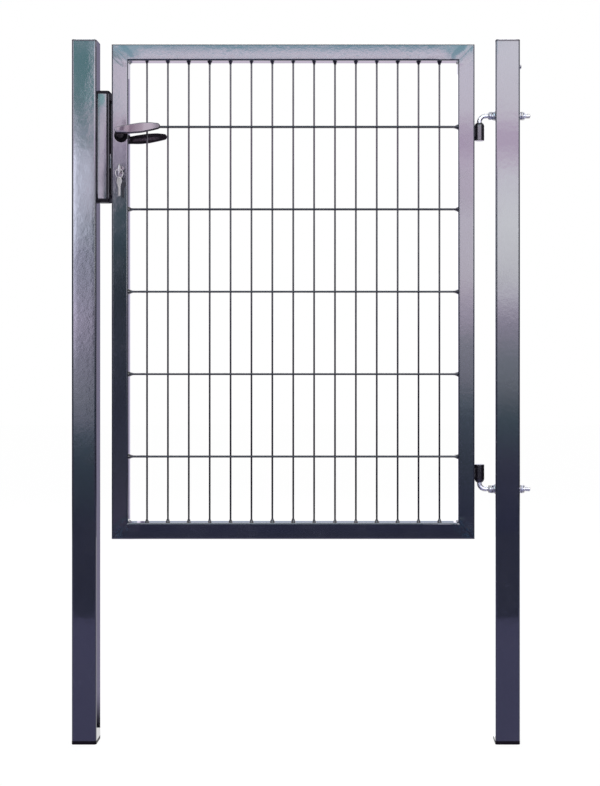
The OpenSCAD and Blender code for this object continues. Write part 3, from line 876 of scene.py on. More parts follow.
def make_keep():
    base, rail, stop = Span("keep_base"), Span("keep_front_rail"), Span("keep_stop")
    strip = Span("keep_cover_strip")
    piece("keep_back_plate", block(base.low, base.high, 0.8 * MM), BLACK_STEEL,
          "posts", "black_steel", "keep_base")
    body = block((base.high.x, rail.low.y + strip.size.y, base.low.z),
                 (rail.high.x, rail.high.y, base.high.z), 0.7 * MM)
    lip = block((rail.high.x - 3.5 * MM, rail.low.y, strip.low.z),
                (rail.high.x, rail.low.y + 3 * MM, strip.high.z), 0.6 * MM)
    piece("keep_front_rail", body, MATTE_BLACK, "posts", "black_steel", "keep_front_rail")
    piece("keep_lip", lip, BLACK_STEEL, "posts", "black_steel")
    piece("keep_closing_stop", block(stop.low, stop.high, 1.2 * MM, 3), BLACK_PLASTIC,
          "posts", "black_plastic", "keep_stop")
    outline = rounded_rect(strip.size.x, strip.size.z, 1.6 * MM, (strip.mid.x, strip.mid.z))
    piece("keep_pressed_cover", slab([outline], strip.size.y, 0.35 * MM,
                                     shifted(y=strip.mid.y) @ TO_XZ),
          STRIP_COAT, "posts", "coated_aluminium", "keep_cover_strip")
    for end, up in (("top", 1), ("bottom", -1)):
        piece(f"keep_{end}_moulded_cap", keep_cap(Span(f"keep_{end}_cap"), up), BLACK_PLASTIC,
              "posts", "black_plastic", f"keep_{end}_cap")
    heights = (base.low.z + 18 * MM, base.mid.z - 46 * MM, base.mid.z + 58 * MM,
               base.high.z - 18 * MM)
    screws = [((base.high.x + 0.05 * MM, 0.0, z), (0.0, QUARTER, 0.0)) for z in heights]
    grown = repeated(pan_head(4.2 * MM, 1.9 * MM), ZINC, screws, turn_change=1.5, seed=5)
    piece("keep_fixing_screws", grown, ZINC, "posts", "zinc_steel")


# ---- Fixings ----

HEAD_SIDES = 36


def recess(top, r, depth):
    """Rings that sink a six-lobed socket into a head, from its rim to its floor."""
    waist, lobes, rings = 0.72, 6, []
    wave = [waist + (1 - waist) * (0.5 + 0.5 * math.cos(lobes * TAU * i / HEAD_SIDES))
            for i in range(HEAD_SIDES)]
    for scale, down in ((1.08, 0.0), (1.0, 0.08), (1.0, 1.0), (0.6, 1.12)):
        rings.append([Vector((x * k, y * k, top - down * depth))
                      for (x, y), k in zip(circle(r * scale, HEAD_SIDES), wave)])
    return rings


def pan_head(r, h):
    """Round head with a socket, its seat at z = 0."""
    crown, wall, steps = math.radians(66), 0.12, 6
    shape = [(0.55 * r, -0.4 * MM), (0.9 * r, -0.05 * MM), (r, wall * h)]
    for k in range(1, steps + 1):
        a = crown * k / steps
        shape.append((r * math.cos(a) ** 0.6,
                      h * (wall + (1 - wall) * math.sin(a) / math.sin(crown))))
    return loft([ring(*at, HEAD_SIDES) for at in shape] + recess(h, r * 0.46, h * 0.75))


def countersunk(r, depth):
    """Countersunk head, its face at z = 0."""
    shape = [(r * 0.45, -depth), (r, -0.25 * MM), (r, -0.05 * MM), (r * 0.96, 0)]
    return loft([ring(*at, HEAD_SIDES) for at in shape] + recess(0, r * 0.52, depth * 0.6))


def hex_nut(flats, thick, hole):
    """Hexagon nut with chamfered corners, turned faces and countersunk bore, around z = 0."""
    sides, sixth = 48, TAU / 6
    h, bore = thick / 2, hole / 2

    def hexagon(limit, z):
        points = []
        for p in ring(1.0, z, sides):
            near = (math.atan2(p.y, p.x) + sixth / 2) % sixth - sixth / 2
            r = min(flats / 2 / math.cos(near), limit)
            points.append(Vector((p.x * r, p.y * r, z)))
        return points

    upper = [(flats * 0.475, h), (flats * 0.535, h - 0.9 * MM), (flats, h - 2.0 * MM)]
    body = [hexagon(*at) for at in upper] + [hexagon(r, -z) for r, z in upper[::-1]]
    rim = bore + 1.0 * MM
    inside = [ring(*at, sides) for at in ((rim, -h), (bore, -h + 1.0 * MM), (bore, h - 1.0 * MM))]
    return loft([ring(rim, h, sides)] + body + inside, closed=True)


def washer(r, hole, thick):
    """Flat washer with soft outer edges, in millimetres, around z = 0."""
    h, soft = thick / 2, 0.35
    profile = [(hole, h), (r - soft, h), (r, h - soft), (r, -h + soft), (r - soft, -h), (hole, -h)]
    return turned(profile, Matrix(), 56, closed=True)


def bent_rod(rod, z, up):
    """Threaded rod through the post, with its bend and the leg that stands in the barrel."""
    r, bend, tooth, outer = ROD_D / 2, 14 * MM, 0.60 * MM, rod.high.x
    thread_in, core = outer - 104 * MM, r - 0.62 * MM
    points = [(Vector((x, 0, z)), radius) for x, radius in (
        (outer, core - 1.3 * MM), (outer - 1.2 * MM, core - 0.05 * MM), (outer - 1.6 * MM, core),
        (thread_in + 1.5 * MM, core), (thread_in, r), (PIVOT_X + bend, r),
    )]
    for k in range(1, 17):
        a = k / 16 * QUARTER
        points.append((Vector((PIVOT_X + bend - bend * math.sin(a), 0,
                               z + up * bend * (1 - math.cos(a)))), r))
    leg_end = rod.high.z if up > 0 else rod.low.z
    for back, radius in ((1.4 * MM, r), (0.0, r - 1.2 * MM)):
        points.append((Vector((PIVOT_X, 0, leg_end - up * back)), radius))
    winding = THREAD.grow(None, ZINC, 20, Radius=r - tooth, Pitch=1.75 * MM, Depth=tooth,
                          Length=outer - 1.2 * MM - thread_in)
    winding.transform(facing((1, 0, 0), (thread_in, 0, z)))
    return merged(swept(*zip(*points), 32), loose(winding))


def make_hinge_fixings():
    rods = (("top", TOP_ROD, TOP_ROD_Z, -1), ("bottom", BOTTOM_ROD, BOTTOM_ROD_Z, 1))
    for end, span, z, up in rods:
        piece(f"{end}_bent_hinge_rod", bent_rod(span, z, up), ZINC, "posts", "zinc_steel",
              f"{end}_hinge_rod")
    flats, thick, washer_t = 19 * MM, 10 * MM, 2.5 * MM
    face = POST_SIDE / 2
    nuts, washers = [], []
    for n, z in enumerate((TOP_ROD_Z, BOTTOM_ROD_Z)):
        for s in (-1, 1):
            tilt = math.pi / 6 + 0.06 * n - 0.05 * s
            nuts.append(((s * (face + washer_t + thick / 2), 0, z), (tilt, QUARTER, 0.0)))
            washers.append(((s * (face + washer_t / 2), 0, z), (0.0, QUARTER, 0.0)))
    for name, node, shape, places in (
        ("hinge_hexagon_nuts", "hinge_nuts", hex_nut(flats, thick, ROD_D + 0.1 * MM), nuts),
        ("hinge_flat_washers", "hinge_washers", washer(12, 6.25, washer_t / MM), washers),
    ):
        piece(name, repeated(shape, ZINC, places), ZINC, "posts", "zinc_steel", node)
    screw = Span("fence_screw")
    seat = facing((1, 0, 0), (HINGE_POST.high.x, 0, screw.mid.z))
    head = pan_head(screw.size.z / 2, screw.high.x - HINGE_POST.high.x)
    bmesh.ops.transform(head, matrix=seat, verts=head.verts)
    tip = (screw.low.x - HINGE_POST.high.x) / MM
    shank = turned([(0, tip), (2.2, tip), (3, -3), (3, 0.2), (0, 0.2)], seat, 24)
    piece("fence_round_head_screw", merged(head, shank), SCREW_ZINC,
          "posts", "zinc_steel", "fence_screw")


# ---- Leaf ----

UPRIGHTS, UPRIGHT_PITCH = 15, 50.7 * MM
CROSSES, CROSS_PITCH = 5, 200 * MM


def make_mesh():
    """The welded mesh of upright wires between paired cross wires."""
    wires = wires_tree().grow(
        None, WIRE_COAT, 50, Upright_Count=UPRIGHTS, Upright_Pitch=UPRIGHT_PITCH,
        Upright_Diameter=4.5 * MM, Upright_Length=MESH.size.z, Cross_Count=CROSSES,
        Cross_Pitch=CROSS_PITCH, Cross_Diameter=5 * MM, Cross_Length=MESH.size.x,
        Cross_Offset=4.4 * MM, Bead=2.3 * MM, Seed=3)
    wires.transform(Matrix.Translation(MESH.mid))
    piece("welded_wire_mesh", wires, WIRE_COAT, "leaf", "coated_steel", "mesh_panel")

    upright_ends, cross_ends = [], []
    for i in range(UPRIGHTS):
        x = MESH.mid.x + (i - UPRIGHTS // 2) * UPRIGHT_PITCH
        for z, turn in ((MESH.low.z, 0), (MESH.high.z, math.pi)):
            upright_ends.append(((x, MESH.mid.y, z), (turn, 0, 0)))
    for j in range(CROSSES):
        z = MESH.mid.z + (j - CROSSES // 2) * CROSS_PITCH
        for x, turn in ((MESH.low.x, QUARTER), (MESH.high.x, -QUARTER)):
            cross_ends.append(((x, MESH.mid.y, z), (0, turn, 0)))
    collar = uneven_weld([(5.8, 6.0), (5.2, 5.5), (4.3, 4.5), (3.3, 3.4), (2.5, 2.5)],
                         [-0.3, 1.1, 3.2, 5.6, 8.2], 11)
    saddle = uneven_weld([(7.0, 8.0), (6.4, 7.8), (5.0, 7.3), (3.7, 6.9), (2.8, 6.6)],
                         [-0.3, 1.6, 4.4, 8.0, 12.0], 12)
    for name, weld, ends, size_change, turn_change, seed in (
        ("upright_end_welds", collar, upright_ends, 0.18, 1.2, 4),
        ("cross_end_welds", saddle, cross_ends, 0.10, 0.0, 9),
    ):
        piece(name, repeated(weld, WIRE_COAT, ends, size_change, turn_change, seed, 70),
              WIRE_COAT, "leaf", "coated_steel")


def uneven_weld(radii, heights, seed):
    """A weld that flares from a wire's end to the tube: oval rings with lumps."""
    chance = random.Random(seed)
    sides, least, most = 14, 0.88, 1.10
    return loft([
        [p * MM * chance.uniform(least, most) + Vector((0, 0, h * MM))
         for p in ring(rx, 0, sides, ry)]
        for (rx, ry), h in zip(radii, heights)
    ])


def make_frame_welds():
    """Beads inside the frame's corners, where the grinder didn't reach."""
    reach, off = FRAME_FACE - FRAME_CORNER, 0.2 * MM
    paths = []
    for x, sx in ((LEAF.low.x + FRAME_SIDE, 1), (LEAF.high.x - FRAME_SIDE, -1)):
        for z, sz in ((LEAF.low.z + FRAME_SIDE, 1), (LEAF.high.z - FRAME_SIDE, -1)):
            paths.append([Vector((x + sx * off, -reach + 2 * reach * k / 8, z + sz * off))
                          for k in range(9)])
    beads = bead_along(paths, FRAME_COAT, 5.0 * MM, 2.2 * MM, unevenness=0.5, seed=2)
    piece("inner_corner_welds", beads, FRAME_COAT, "leaf", "coated_steel")


def make_barrels():
    """Hinge barrels with their bores, round shoulders and the welds to the stile."""
    r, mouth_r, bore_r, bore_end = 12, 8.5, 6.08, 36.3
    shoulder = math.sqrt(r ** 2 - mouth_r ** 2)
    bend, paths = math.asin(shoulder / r), []
    for end, up in (("top", -1), ("bottom", 1)):
        span = Span(f"{end}_hinge_barrel")
        mouth = span.high.z if up < 0 else span.low.z
        tall = span.size.z / MM
        place = shifted(PIVOT_X, z=mouth) @ Matrix.Scale(up, 4, (0, 0, 1))
        profile = [(bore_r, 0.7), (6.6, 0.1), (8.2, 0.0)] + arc(r, -bend, bend, 8, (0, shoulder))
        profile += [(r, tall - 1.2), (r - 0.35, tall - 0.35), (r - 1.2, tall), (0, tall),
                    (0, bore_end), (bore_r, bore_end)]
        shell = turned(profile, place, 56, closed=True)
        start, run = mouth + up * shoulder * MM, up * (tall - 2 * shoulder) * MM
        low, high = sorted((start, start + run))
        web = block((LEAF.high.x - 0.2 * MM, -4 * MM, low), (PIVOT_X - 8 * MM, 4 * MM, high),
                    0.5 * MM)
        piece(f"{end}_turned_barrel", merged(shell, web), BARREL_COAT, "leaf", "black_steel",
              f"{end}_hinge_barrel")
        paths += [[Vector((LEAF.high.x + 1.2 * MM, y, start + run * k / 10)) for k in range(11)]
                  for y in (-5.0 * MM, 5.0 * MM)]
    beads = bead_along(paths, BLACK_STEEL, 4.2 * MM, 2.4 * MM, unevenness=0.45, seed=6)
    piece("barrel_weld_beads", beads, BLACK_STEEL, "leaf", "black_steel")


# ---- Lock ----

PLUG_R = 6.9 * MM


def cylinder_outline(grow=0.0):
    """Outline of the profile cylinder: a round head on a narrow web with a round foot."""
    r, web = CYLINDER_HEAD_R + grow, 5 * MM + grow
    foot_z = CYLINDER_Z - (33 - 8.5 - 5) * MM
    join = math.asin(web / r)
    return (arc(r, join - QUARTER, TAU - 2 * join, 28, (AXIS_X, CYLINDER_Z))
            + arc(web, math.pi, math.pi, 12, (AXIS_X, foot_z)))


def latch_nose():
    """Latch bolt: a head with a slope on its closing side, and a lower tail inside the case."""
    x, y, far_y = LATCH.low.x, LATCH.low.y, LATCH.high.y
    shoulder = x + 15 * MM
    outline = [(x, y + 1.2 * MM), (x + 0.35 * MM, y + 0.35 * MM), (x + 1.2 * MM, y),
               (shoulder, y), (shoulder, far_y), (x + 9.5 * MM, far_y),
               (x + 8.6 * MM, far_y - 0.4 * MM), (x + 1.0 * MM, y + 3.9 * MM),
               (x + 0.2 * MM, y + 3.0 * MM)]
    head = slab([outline], LATCH.size.z, 0.5 * MM, shifted(z=LATCH.mid.z))
    tail = block((shoulder - 1 * MM, y, LATCH.high.z - 26 * MM), LATCH.high, 0.5 * MM)
    return merged(head, tail)


def make_lock():
    face_t, face_w, face_h, mid_z = 3 * MM, 22 * MM, CASE.size.z, CASE.mid.z
    latch_hole = rounded_rect(LATCH.size.y + 0.8 * MM, LATCH.size.z + 0.8 * MM, 0.6 * MM,
                              (0, LATCH.mid.z), 3)
    screw_z = [mid_z + s * (face_h / 2 - 9 * MM) for s in (-1, 1)]
    screw_holes = [circle(2.9 * MM, 24, (0, z)) for z in screw_z]
    plate = slab([rounded_rect(face_w, face_h, face_w / 2, (0, mid_z), 10), latch_hole,
                  *screw_holes], face_t, 0.3 * MM, shifted(CASE.low.x + face_t / 2) @ TO_YZ)
    # The case lies inside the stile, behind its slot.
    low_z, high_z = HANDLE_Z - 126 * MM, HANDLE_Z + 44 * MM
    middle = (CASE.low.x + face_t + 17.5 * MM, (low_z + high_z) / 2)
    case = slab([rounded_rect(33 * MM, high_z - low_z, 2 * MM, middle, 4),
                 circle(7.2 * MM, 32, (AXIS_X, HANDLE_Z)), cylinder_outline(0.3 * MM)],
                17 * MM, 0.5 * MM, TO_XZ)
    piece("lock_faceplate_and_case", merged(plate, case), BLACK_STEEL,
          "leaf", "black_steel", "lock_case")
    screws = [((CASE.low.x + 0.55 * MM, 0, z), (0, -QUARTER, 0)) for z in screw_z]
    grown = repeated(countersunk(2.8 * MM, 1.8 * MM), ZINC, screws, turn_change=1.0, seed=8)
    piece("faceplate_screws", grown, ZINC, "leaf", "zinc_steel")
    piece("bevelled_latch_bolt", latch_nose(), LATCH_STEEL, "latch", "bright_steel", "latch_bolt")

    depth, centre = CYLINDER.size.y, (AXIS_X, CYLINDER_Z)
    body = slab([cylinder_outline(), circle(PLUG_R, 40, centre)], depth, 0.5 * MM, TO_XZ)
    key_slot = rounded_rect(2.5 * MM, 8.8 * MM, 0.4 * MM, centre, 3)
    plug = slab([circle(PLUG_R - 0.06 * MM, 40, centre), key_slot], depth - 0.8 * MM, 0.35 * MM,
                TO_XZ)
    piece("profile_cylinder", body, CYLINDER_NICKEL, "leaf", "nickel", "key_cylinder")
    piece("cylinder_plug", plug, CYLINDER_NICKEL, "leaf", "nickel")


def make_roses():
    profile = [(7.3, 0), (15.6, 0), (16, 0.4), (16, 3.6), (15.7, 4.7), (14.9, 6.2), (13.8, 7.4),
               (12.6, 8), (10.6, 8), (10.2, 7.3), (8.6, 7.2), (8.3, 7.9), (7.3, 7.9)]
    for side, name in ((-1, "front"), (1, "back")):
        piece(f"{name}_turned_rose", turned(profile, on_leaf(side), 64, closed=True),
              MATTE_BLACK, "leaf", "black_steel", f"{name}_rose")


# ---- Levers ----

FRONT_LEVER, BACK_LEVER = Span("front_lever"), Span("back_lever")
REACH = (FRONT_LEVER.high.x - AXIS_X) / MM
BACK_DROP = FRONT_LEVER.high.z - BACK_LEVER.high.z
# Circles that the blade wraps: out from the axis, up from it, and radius, in millimetres.
BLADE_SPINE = [(0.2, 7.0, 8.1), (REACH * 0.29, 9.3, 11.1), (REACH * 0.54, 12.2, 12.0),
               (REACH * 0.76, 14.9, 10.2), (REACH - 7.4, 16.0, 7.4)]


def blade_hull():
    """Lower and upper edge of the smallest outline around the blade's circles."""
    points = sorted({(round(out, 4), round(up, 4))
                     for x, z, r in BLADE_SPINE for out, up in circle(r, 120, (x, z))})

    def half(run):
        kept = []
        for p in run:
            while len(kept) > 1 and (
                (kept[-1][0] - kept[-2][0]) * (p[1] - kept[-2][1])
                - (kept[-1][1] - kept[-2][1]) * (p[0] - kept[-2][0])
            ) <= 0:
                kept.pop()
            kept.append(p)
        return kept

    return half(points), half(points[::-1])[::-1]


def height_at(line, x):
    """Height of a line of points above x."""
    for (x0, z0), (x1, z1) in zip(line, line[1:]):
        if x0 <= x <= x1:
            return z0 + (z1 - z0) * ((x - x0) / (x1 - x0) if x1 > x0 else 0)
    return line[-1][1]


def blade_section(outer, inner, half):
    """Section of the blade: a broad flat face, a soft lower edge and a crisp upper one."""
    points = []
    corners = ((1, 1, 1.6), (-1, 1, 2.4), (-1, -1, 3.2), (1, -1, 3.4))
    for quarter, (sy, sz, r) in enumerate(corners):
        deep = outer if sy > 0 else inner
        r = min(r, half * 0.95, deep * 0.95)
        points += arc(r, quarter * QUARTER, QUARTER, 6, (sy * (deep - r), sz * (half - r)))
    return points


def lever(side):
    """Lever: a flat blade on a round neck, thinner towards its tip."""
    below, above = blade_hull()
    first, last = below[0][0], below[-1][0]
    stand, drop = 65 * MM, BACK_DROP + 1.6 * MM if side > 0 else 0.0
    count, end, thick, slim_from, rings = 64, 0.004, 4.5, 60.0, []
    for i in range(count + 1):
        run = end + (1 - 2 * end) * i / count
        x = first + (last - first) * (0.5 - 0.5 * math.cos(math.pi * run))
        low, high = height_at(below, x), height_at(above, x)
        mid, half = (low + high) / 2, max((high - low) / 2, 0.02)
        fade = min(1.0, half / 4.0) ** 0.4
        t = min(max((x - slim_from) / (last - slim_from), 0.0), 1.0)
        slim = 0.5 * t * t * (3 - 2 * t)
        rings.append([
            Vector((AXIS_X + x * MM, side * (stand + y * MM), HANDLE_Z - drop + (mid + z) * MM))
            for y, z in blade_section((thick - slim) * fade, (thick - 0.6 * slim) * fade, half)
        ])
    neck = turned([(0, 8.3), (7.4, 8.3), (8, 8.9), (8, 33), (8, 37), (7.4, 40.2), (6.4, 41.6),
                   (0, 41.6)], on_leaf(side), 40)
    return merged(loft(rings), neck)


def make_levers():
    for side, name, coat in ((-1, "front", LEVER_COAT), (1, "back", BACK_LEVER_COAT)):
        piece(f"{name}_lever_handle", lever(side), coat, "handle", "coated_aluminium",
              f"{name}_lever", smooth_angle=32)
    finish_node(ZINC, "spindle")


# ---- Keys ----

KEY_BOW_R = 10.5
KEY_HOLE_OFF = 6 * MM
# Cuts along the blade: run from its root, and depth.
KEY_CUTS = ((0, 0), (2.2, 0), (3.6, 1.1), (4.4, 1.1), (6.0, 0.2), (7.4, 1.7), (8.4, 1.7),
            (10.0, 0.5), (11.4, 1.4), (12.2, 1.4), (13.8, 0.4), (15.2, 1.9), (16.4, 1.9),
            (18.6, 0.3), (19.6, 0.0))


def key_shape(place):
    """A cylinder key: round bow with its hole, a collar, and a blade with cuts along its edge."""
    half, collar, stand, length = 4.25, 5.95, 13.0, 36.0
    start = math.asin(collar / KEY_BOW_R)
    outline = arc(KEY_BOW_R, start, TAU - 2 * start, 44) + [
        (stand - 0.5, -collar), (stand - 0.5, -half), (length - 1.6, -half),
        (length, -half + 2.0), (length, half - 2.6), (length - 2.4, half)]
    outline += [(stand + x, half - deep) for x, deep in KEY_CUTS[::-1]]
    outline += [(stand - 0.5, half), (stand - 0.5, collar)]
    hole = circle(3 * MM, 28, (-KEY_HOLE_OFF, 0))
    return slab([[(x * MM, y * MM) for x, y in outline], hole], 2.2 * MM, 0.3 * MM, place)


def make_keys():
    bow_y = -(27 + 13) * MM
    hole_y = bow_y - KEY_HOLE_OFF
    piece("inserted_key", key_shape(shifted(AXIS_X, bow_y, CYLINDER_Z) @ TO_YZ), NICKEL,
          "leaf", "nickel", "key")
    down = (shifted(AXIS_X, hole_y, Span("spare_key").high.z - KEY_BOW_R * MM)
            @ Matrix.Rotation(math.radians(38), 4, "Z") @ Matrix.Rotation(QUARTER, 4, "Y"))
    piece("hanging_spare_key", key_shape(down), NICKEL, "leaf", "nickel", "spare_key")
    around = (shifted(AXIS_X, hole_y, Span("key_ring").mid.z)
              @ Matrix.Rotation(math.radians(46), 4, "Z"))
    r, wire_r, coils, steps = 11.0 * MM, 0.62 * MM, 2, 56
    last = coils * steps
    path = [around @ Vector((r * math.cos(TAU * k / steps), (k / last - 0.5) * 1.1 * MM,
                             r * math.sin(TAU * k / steps))) for k in range(last + 1)]
    piece("split_key_ring", swept(path, [wire_r] * len(path), 10), NICKEL,
          "leaf", "nickel", "key_ring")


# ---- Studio ----

def material(name):
    return Shading(bpy.data.materials.new(name))


def sheet(name, corners, finish):
    mesh = bpy.data.meshes.new(name)
    mesh.from_pydata(corners, [], [tuple(range(len(corners)))])
    mesh.materials.append(finish)
    made = in_scene(name, mesh)
    return made


def standing(left, right, y, low, high):
    return [(left, y, low), (left, y, high), (right, y, high), (right, y, low)]


def lying(half, low_y, high_y, z):
    return [(-half, low_y, z), (half, low_y, z), (half, high_y, z), (-half, high_y, z)]


def sideways(x, low_y, high_y, low, high):
    return [(x, low_y, low), (x, high_y, low), (x, high_y, high), (x, low_y, high)]


def floor_material():
    m = material("pale_floor")
    seen = m.seen()
    cloud = m.node("ShaderNodeTexNoise", {"Scale": 0.8, "Detail": 3.0})["Fac"]
    tone = m.mix(cloud, (0.80, 0.80, 0.80), (0.84, 0.84, 0.84))
    tone = m.mix(seen, tone, (0.20, 0.20, 0.20), "MULTIPLY")
    matte = m.node("ShaderNodeBsdfDiffuse", {"Color": tone})["BSDF"]
    both = m.node("ShaderNodeAddShader", {0: matte, 1: m.glow((1, 1, 1, 1), seen * 0.92)})
    return m.surface(both["Shader"])


def light_panel(name, size, place, strength):
    """A plain soft light. The camera doesn't see it."""
    data = bpy.data.lights.new(name, "AREA")
    data.shape = "RECTANGLE"
    data.size, data.size_y = size
    # A one-sided lamp of this power has the given brightness.
    data.energy = strength * math.pi * size[0] * size[1]
    made = in_scene(name, data)
    made.matrix_world = place
    made.visible_camera = False


# Tones of the front panel for each stretch of its width. A row is a height on the panel and
# its red, green and blue, all in hundredths.
OVER_HINGE_POST = (
    (0, 1, 1, 3), (37, 3, 3, 5), (58, 5, 8, 9), (68, 12, 14, 16), (78, 20, 22, 25),
    (89, 23, 25, 29), (99, 32, 31, 38), (107, 38, 35, 45), (114, 52, 47, 59), (122, 74, 71, 82),
    (130, 85, 85, 92), (140, 92, 92, 98), (160, 103, 104, 110), (183, 97, 95, 106),
    (191, 88, 78, 94), (199, 74, 60, 80), (205, 74, 60, 80), (212, 87, 77, 93),
    (217, 95, 90, 102), (248, 100, 98, 110),
)
OVER_HINGE_STILE = (
    (0, 1, 1, 3), (37, 3, 4, 5), (58, 6, 8, 10), (68, 12, 15, 18), (78, 23, 23, 28),
    (99, 32, 32, 38), (107, 47, 42, 53), (114, 56, 50, 63), (122, 68, 60, 73), (130, 78, 72, 83),
    (161, 84, 78, 91), (172, 76, 67, 82), (188, 83, 72, 89), (199, 69, 55, 75),
    (206, 71, 58, 77), (212, 84, 73, 89), (217, 92, 86, 100), (242, 95, 89, 105),
    (245, 60, 64, 78), (249, 38, 60, 71),
)
OVER_LOCK_STILE = (
    (0, 5, 4, 7), (37, 3, 3, 4), (58, 2, 2, 3), (130, 2, 3, 3), (150, 4, 7, 8), (166, 6, 10, 11),
    (176, 12, 13, 16), (185, 24, 22, 30), (191, 36, 31, 42), (199, 44, 37, 52),
    (207, 52, 44, 60), (213, 81, 70, 85), (217, 91, 84, 98), (242, 91, 82, 98),
    (245, 56, 62, 75), (249, 40, 60, 72),
)
OVER_LOCK_POST = (
    (0, 1, 1, 2), (37, 3, 5, 6), (48, 6, 9, 11), (58, 18, 19, 24), (68, 23, 24, 29),
    (89, 32, 31, 40), (99, 40, 37, 49), (110, 47, 43, 57), (133, 40, 40, 52), (143, 44, 44, 57),
    (153, 60, 63, 77), (176, 72, 74, 90), (191, 70, 73, 88), (197.5, 62, 66, 80),
    (200.5, 34, 41, 48), (207, 25, 35, 39), (213, 19, 32, 35), (248, 15, 32, 34),
)
OVER_KEEP = (
    (0, 5, 5, 7), (160, 70, 62, 75), (176, 87, 76, 93), (181, 66, 57, 71), (191, 85, 75, 91),
    (207, 84, 77, 90), (214, 74, 66, 81), (219, 57, 58, 72), (221.5, 20, 54, 56),
    (224.5, 16, 50, 50), (227, 55, 62, 72),
)
OVER_FAR_ENDS = (
    (30, 1, 1, 2), (150, 3, 3, 4), (205, 16, 14, 19), (250, 30, 30, 36),
)
OVER_CYLINDER = (
    (0, 9, 8, 11), (270, 9, 8, 11),
)
OVER_POST_TOP = (
    (203, 37, 42, 52), (211.7, 22, 33, 37), (219.9, 18, 30, 33), (228.1, 15, 30, 32),
    (244.5, 13, 29, 31), (248.5, 20, 34, 38),
)
# Along the lever, from its root to its tip: the first number is a place along X.
ALONG_LEVER = (
    (-160, 80, 68, 80), (-157.2, 84, 70, 84), (-156.3, 16, 10, 17), (-154.9, 16, 10, 17),
    (-154.1, 70, 56, 68), (-152.6, 72, 56, 68), (-151.2, 36, 24, 34), (-149, 52, 40, 51),
    (-146.1, 66, 52, 64), (-141, 86, 72, 86), (-136, 90, 76, 90),
)
# Across the lock post: a place along X, and a share of the tone at that height.
ACROSS_LOCK_POST = (
    (-183, 190), (-180.2, 180), (-179.6, 78), (-178.9, 74), (-178.3, 92), (-176.6, 96),
    (-174.6, 118), (-172.7, 120), (-172, 82), (-171.2, 58), (-170, 70),
)
OVER_TOP_RAIL = (
    (240.5, 20, 12, 20), (242.5, 58, 50, 64), (244.5, 115, 110, 125), (246.5, 110, 100, 120),
    (247.8, 72, 76, 92), (249, 35, 50, 62), (251, 25, 46, 56),
)
PANEL_TOP, PANEL_STRENGTH = 2.75, 4.3
PANEL_LEFT, PANEL_RIGHT, PANEL_Y = -2.25, 1.35, -4
TONE_PEAK, SHARE_PEAK = 1.2, 2.5
SIDE_SOFT, FLOOR_SOFT = 0.008, 0.004
LEAN_X, LEAN, LEAN_LEFT, LEAN_LOWEST = -1.794, 0.57, 4.5, -0.2


def softbox_material():
    """The front panel: bright above, dark below, and shaded differently along its width."""
    m = material("softbox")
    x, _, z = m.axes()

    def gradient(rows, at, first=0.0, last=PANEL_TOP, peak=TONE_PEAK):
        stops = [((place / 100 - first) / (last - first), [c / 100 / peak for c in tone])
                 for place, *tone in rows]
        return m.ramp((at - first) / (last - first), *stops)

    def across(rows, peak=TONE_PEAK):
        """A gradient along X, between the first and the last place of its rows."""
        return gradient(rows, x, rows[0][0] / 100, rows[-1][0] / 100, peak)

    # The lock post's tones lean with x, more steeply left of its middle.
    off = x - LEAN_X
    slope = off * LEAN + off.at_most(0.0).at_least(-0.04) * LEAN_LEFT
    slope = slope.at_least(LEAN_LOWEST)
    lock_post = gradient(OVER_LOCK_POST, z + slope * z.step(1.6, 1.9))
    streaks = across([(at, share, share, share) for at, share in ACROSS_LOCK_POST], SHARE_PEAK)
    share = 1 + (streaks * SHARE_PEAK - 1) * z.window(0.65, 1.00, 1.90, 2.02)
    lock_post = m.node("ShaderNodeVectorMath", {0: lock_post, "Scale": share},
                       operation="SCALE")["Vector"]
    lever = across(ALONG_LEVER)

    def laid_over(below, tone, left, right, floor=0.0, ceiling=9.0, soft=0.1):
        """A tone between two sides, from floor up and fading out below its ceiling."""
        tone = tone if isinstance(tone, Link) else gradient(tone, z)
        wide = x.window(left - SIDE_SOFT, left + SIDE_SOFT, right - SIDE_SOFT, right + SIDE_SOFT)
        tall = z.window(floor - FLOOR_SOFT, floor + FLOOR_SOFT, ceiling - soft, ceiling)
        return m.mix(wide * tall, below, tone)

    panel = gradient(OVER_HINGE_POST, z)
    for overlay in (
        (lock_post, -1.950, -1.690),
        (OVER_POST_TOP, -1.803, -1.690, 2.035),
        (OVER_LOCK_STILE, -1.690, -1.475),
        (OVER_LOCK_STILE, -1.475, 0.050, 0.15, 1.95),
        (OVER_FAR_ENDS, 2.200, 20.00),
        (OVER_FAR_ENDS, -20.0, -3.000),
        (OVER_CYLINDER, -1.600, -1.547, 1.80, 1.90, 0.02),
        (lever, -1.600, -1.350, 2.008, 2.130, 0.02),
        (lever, -1.530, -1.100, 1.940, 2.190, 0.02),
        (OVER_KEEP, -1.700, -1.640, 1.62),
        (OVER_HINGE_STILE, 0.10, 0.29),
        (OVER_TOP_RAIL, -1.475, 0.10, 2.40),
    ):
        panel = laid_over(panel, *overlay)
    front = 1 - m.node("ShaderNodeNewGeometry")["Backfacing"]
    return m.surface(m.glow(panel, front * PANEL_STRENGTH * TONE_PEAK))


def card_material(name, low, high=None, start=0.0, end=1.0, along=2):
    """A card for reflections: one tone, then another, and a soft change between them."""
    m = material(name)
    tone = m.mix(m.axes()[along].step(start, end), low, high or low)
    return m.surface(m.glow(tone, 1.0))


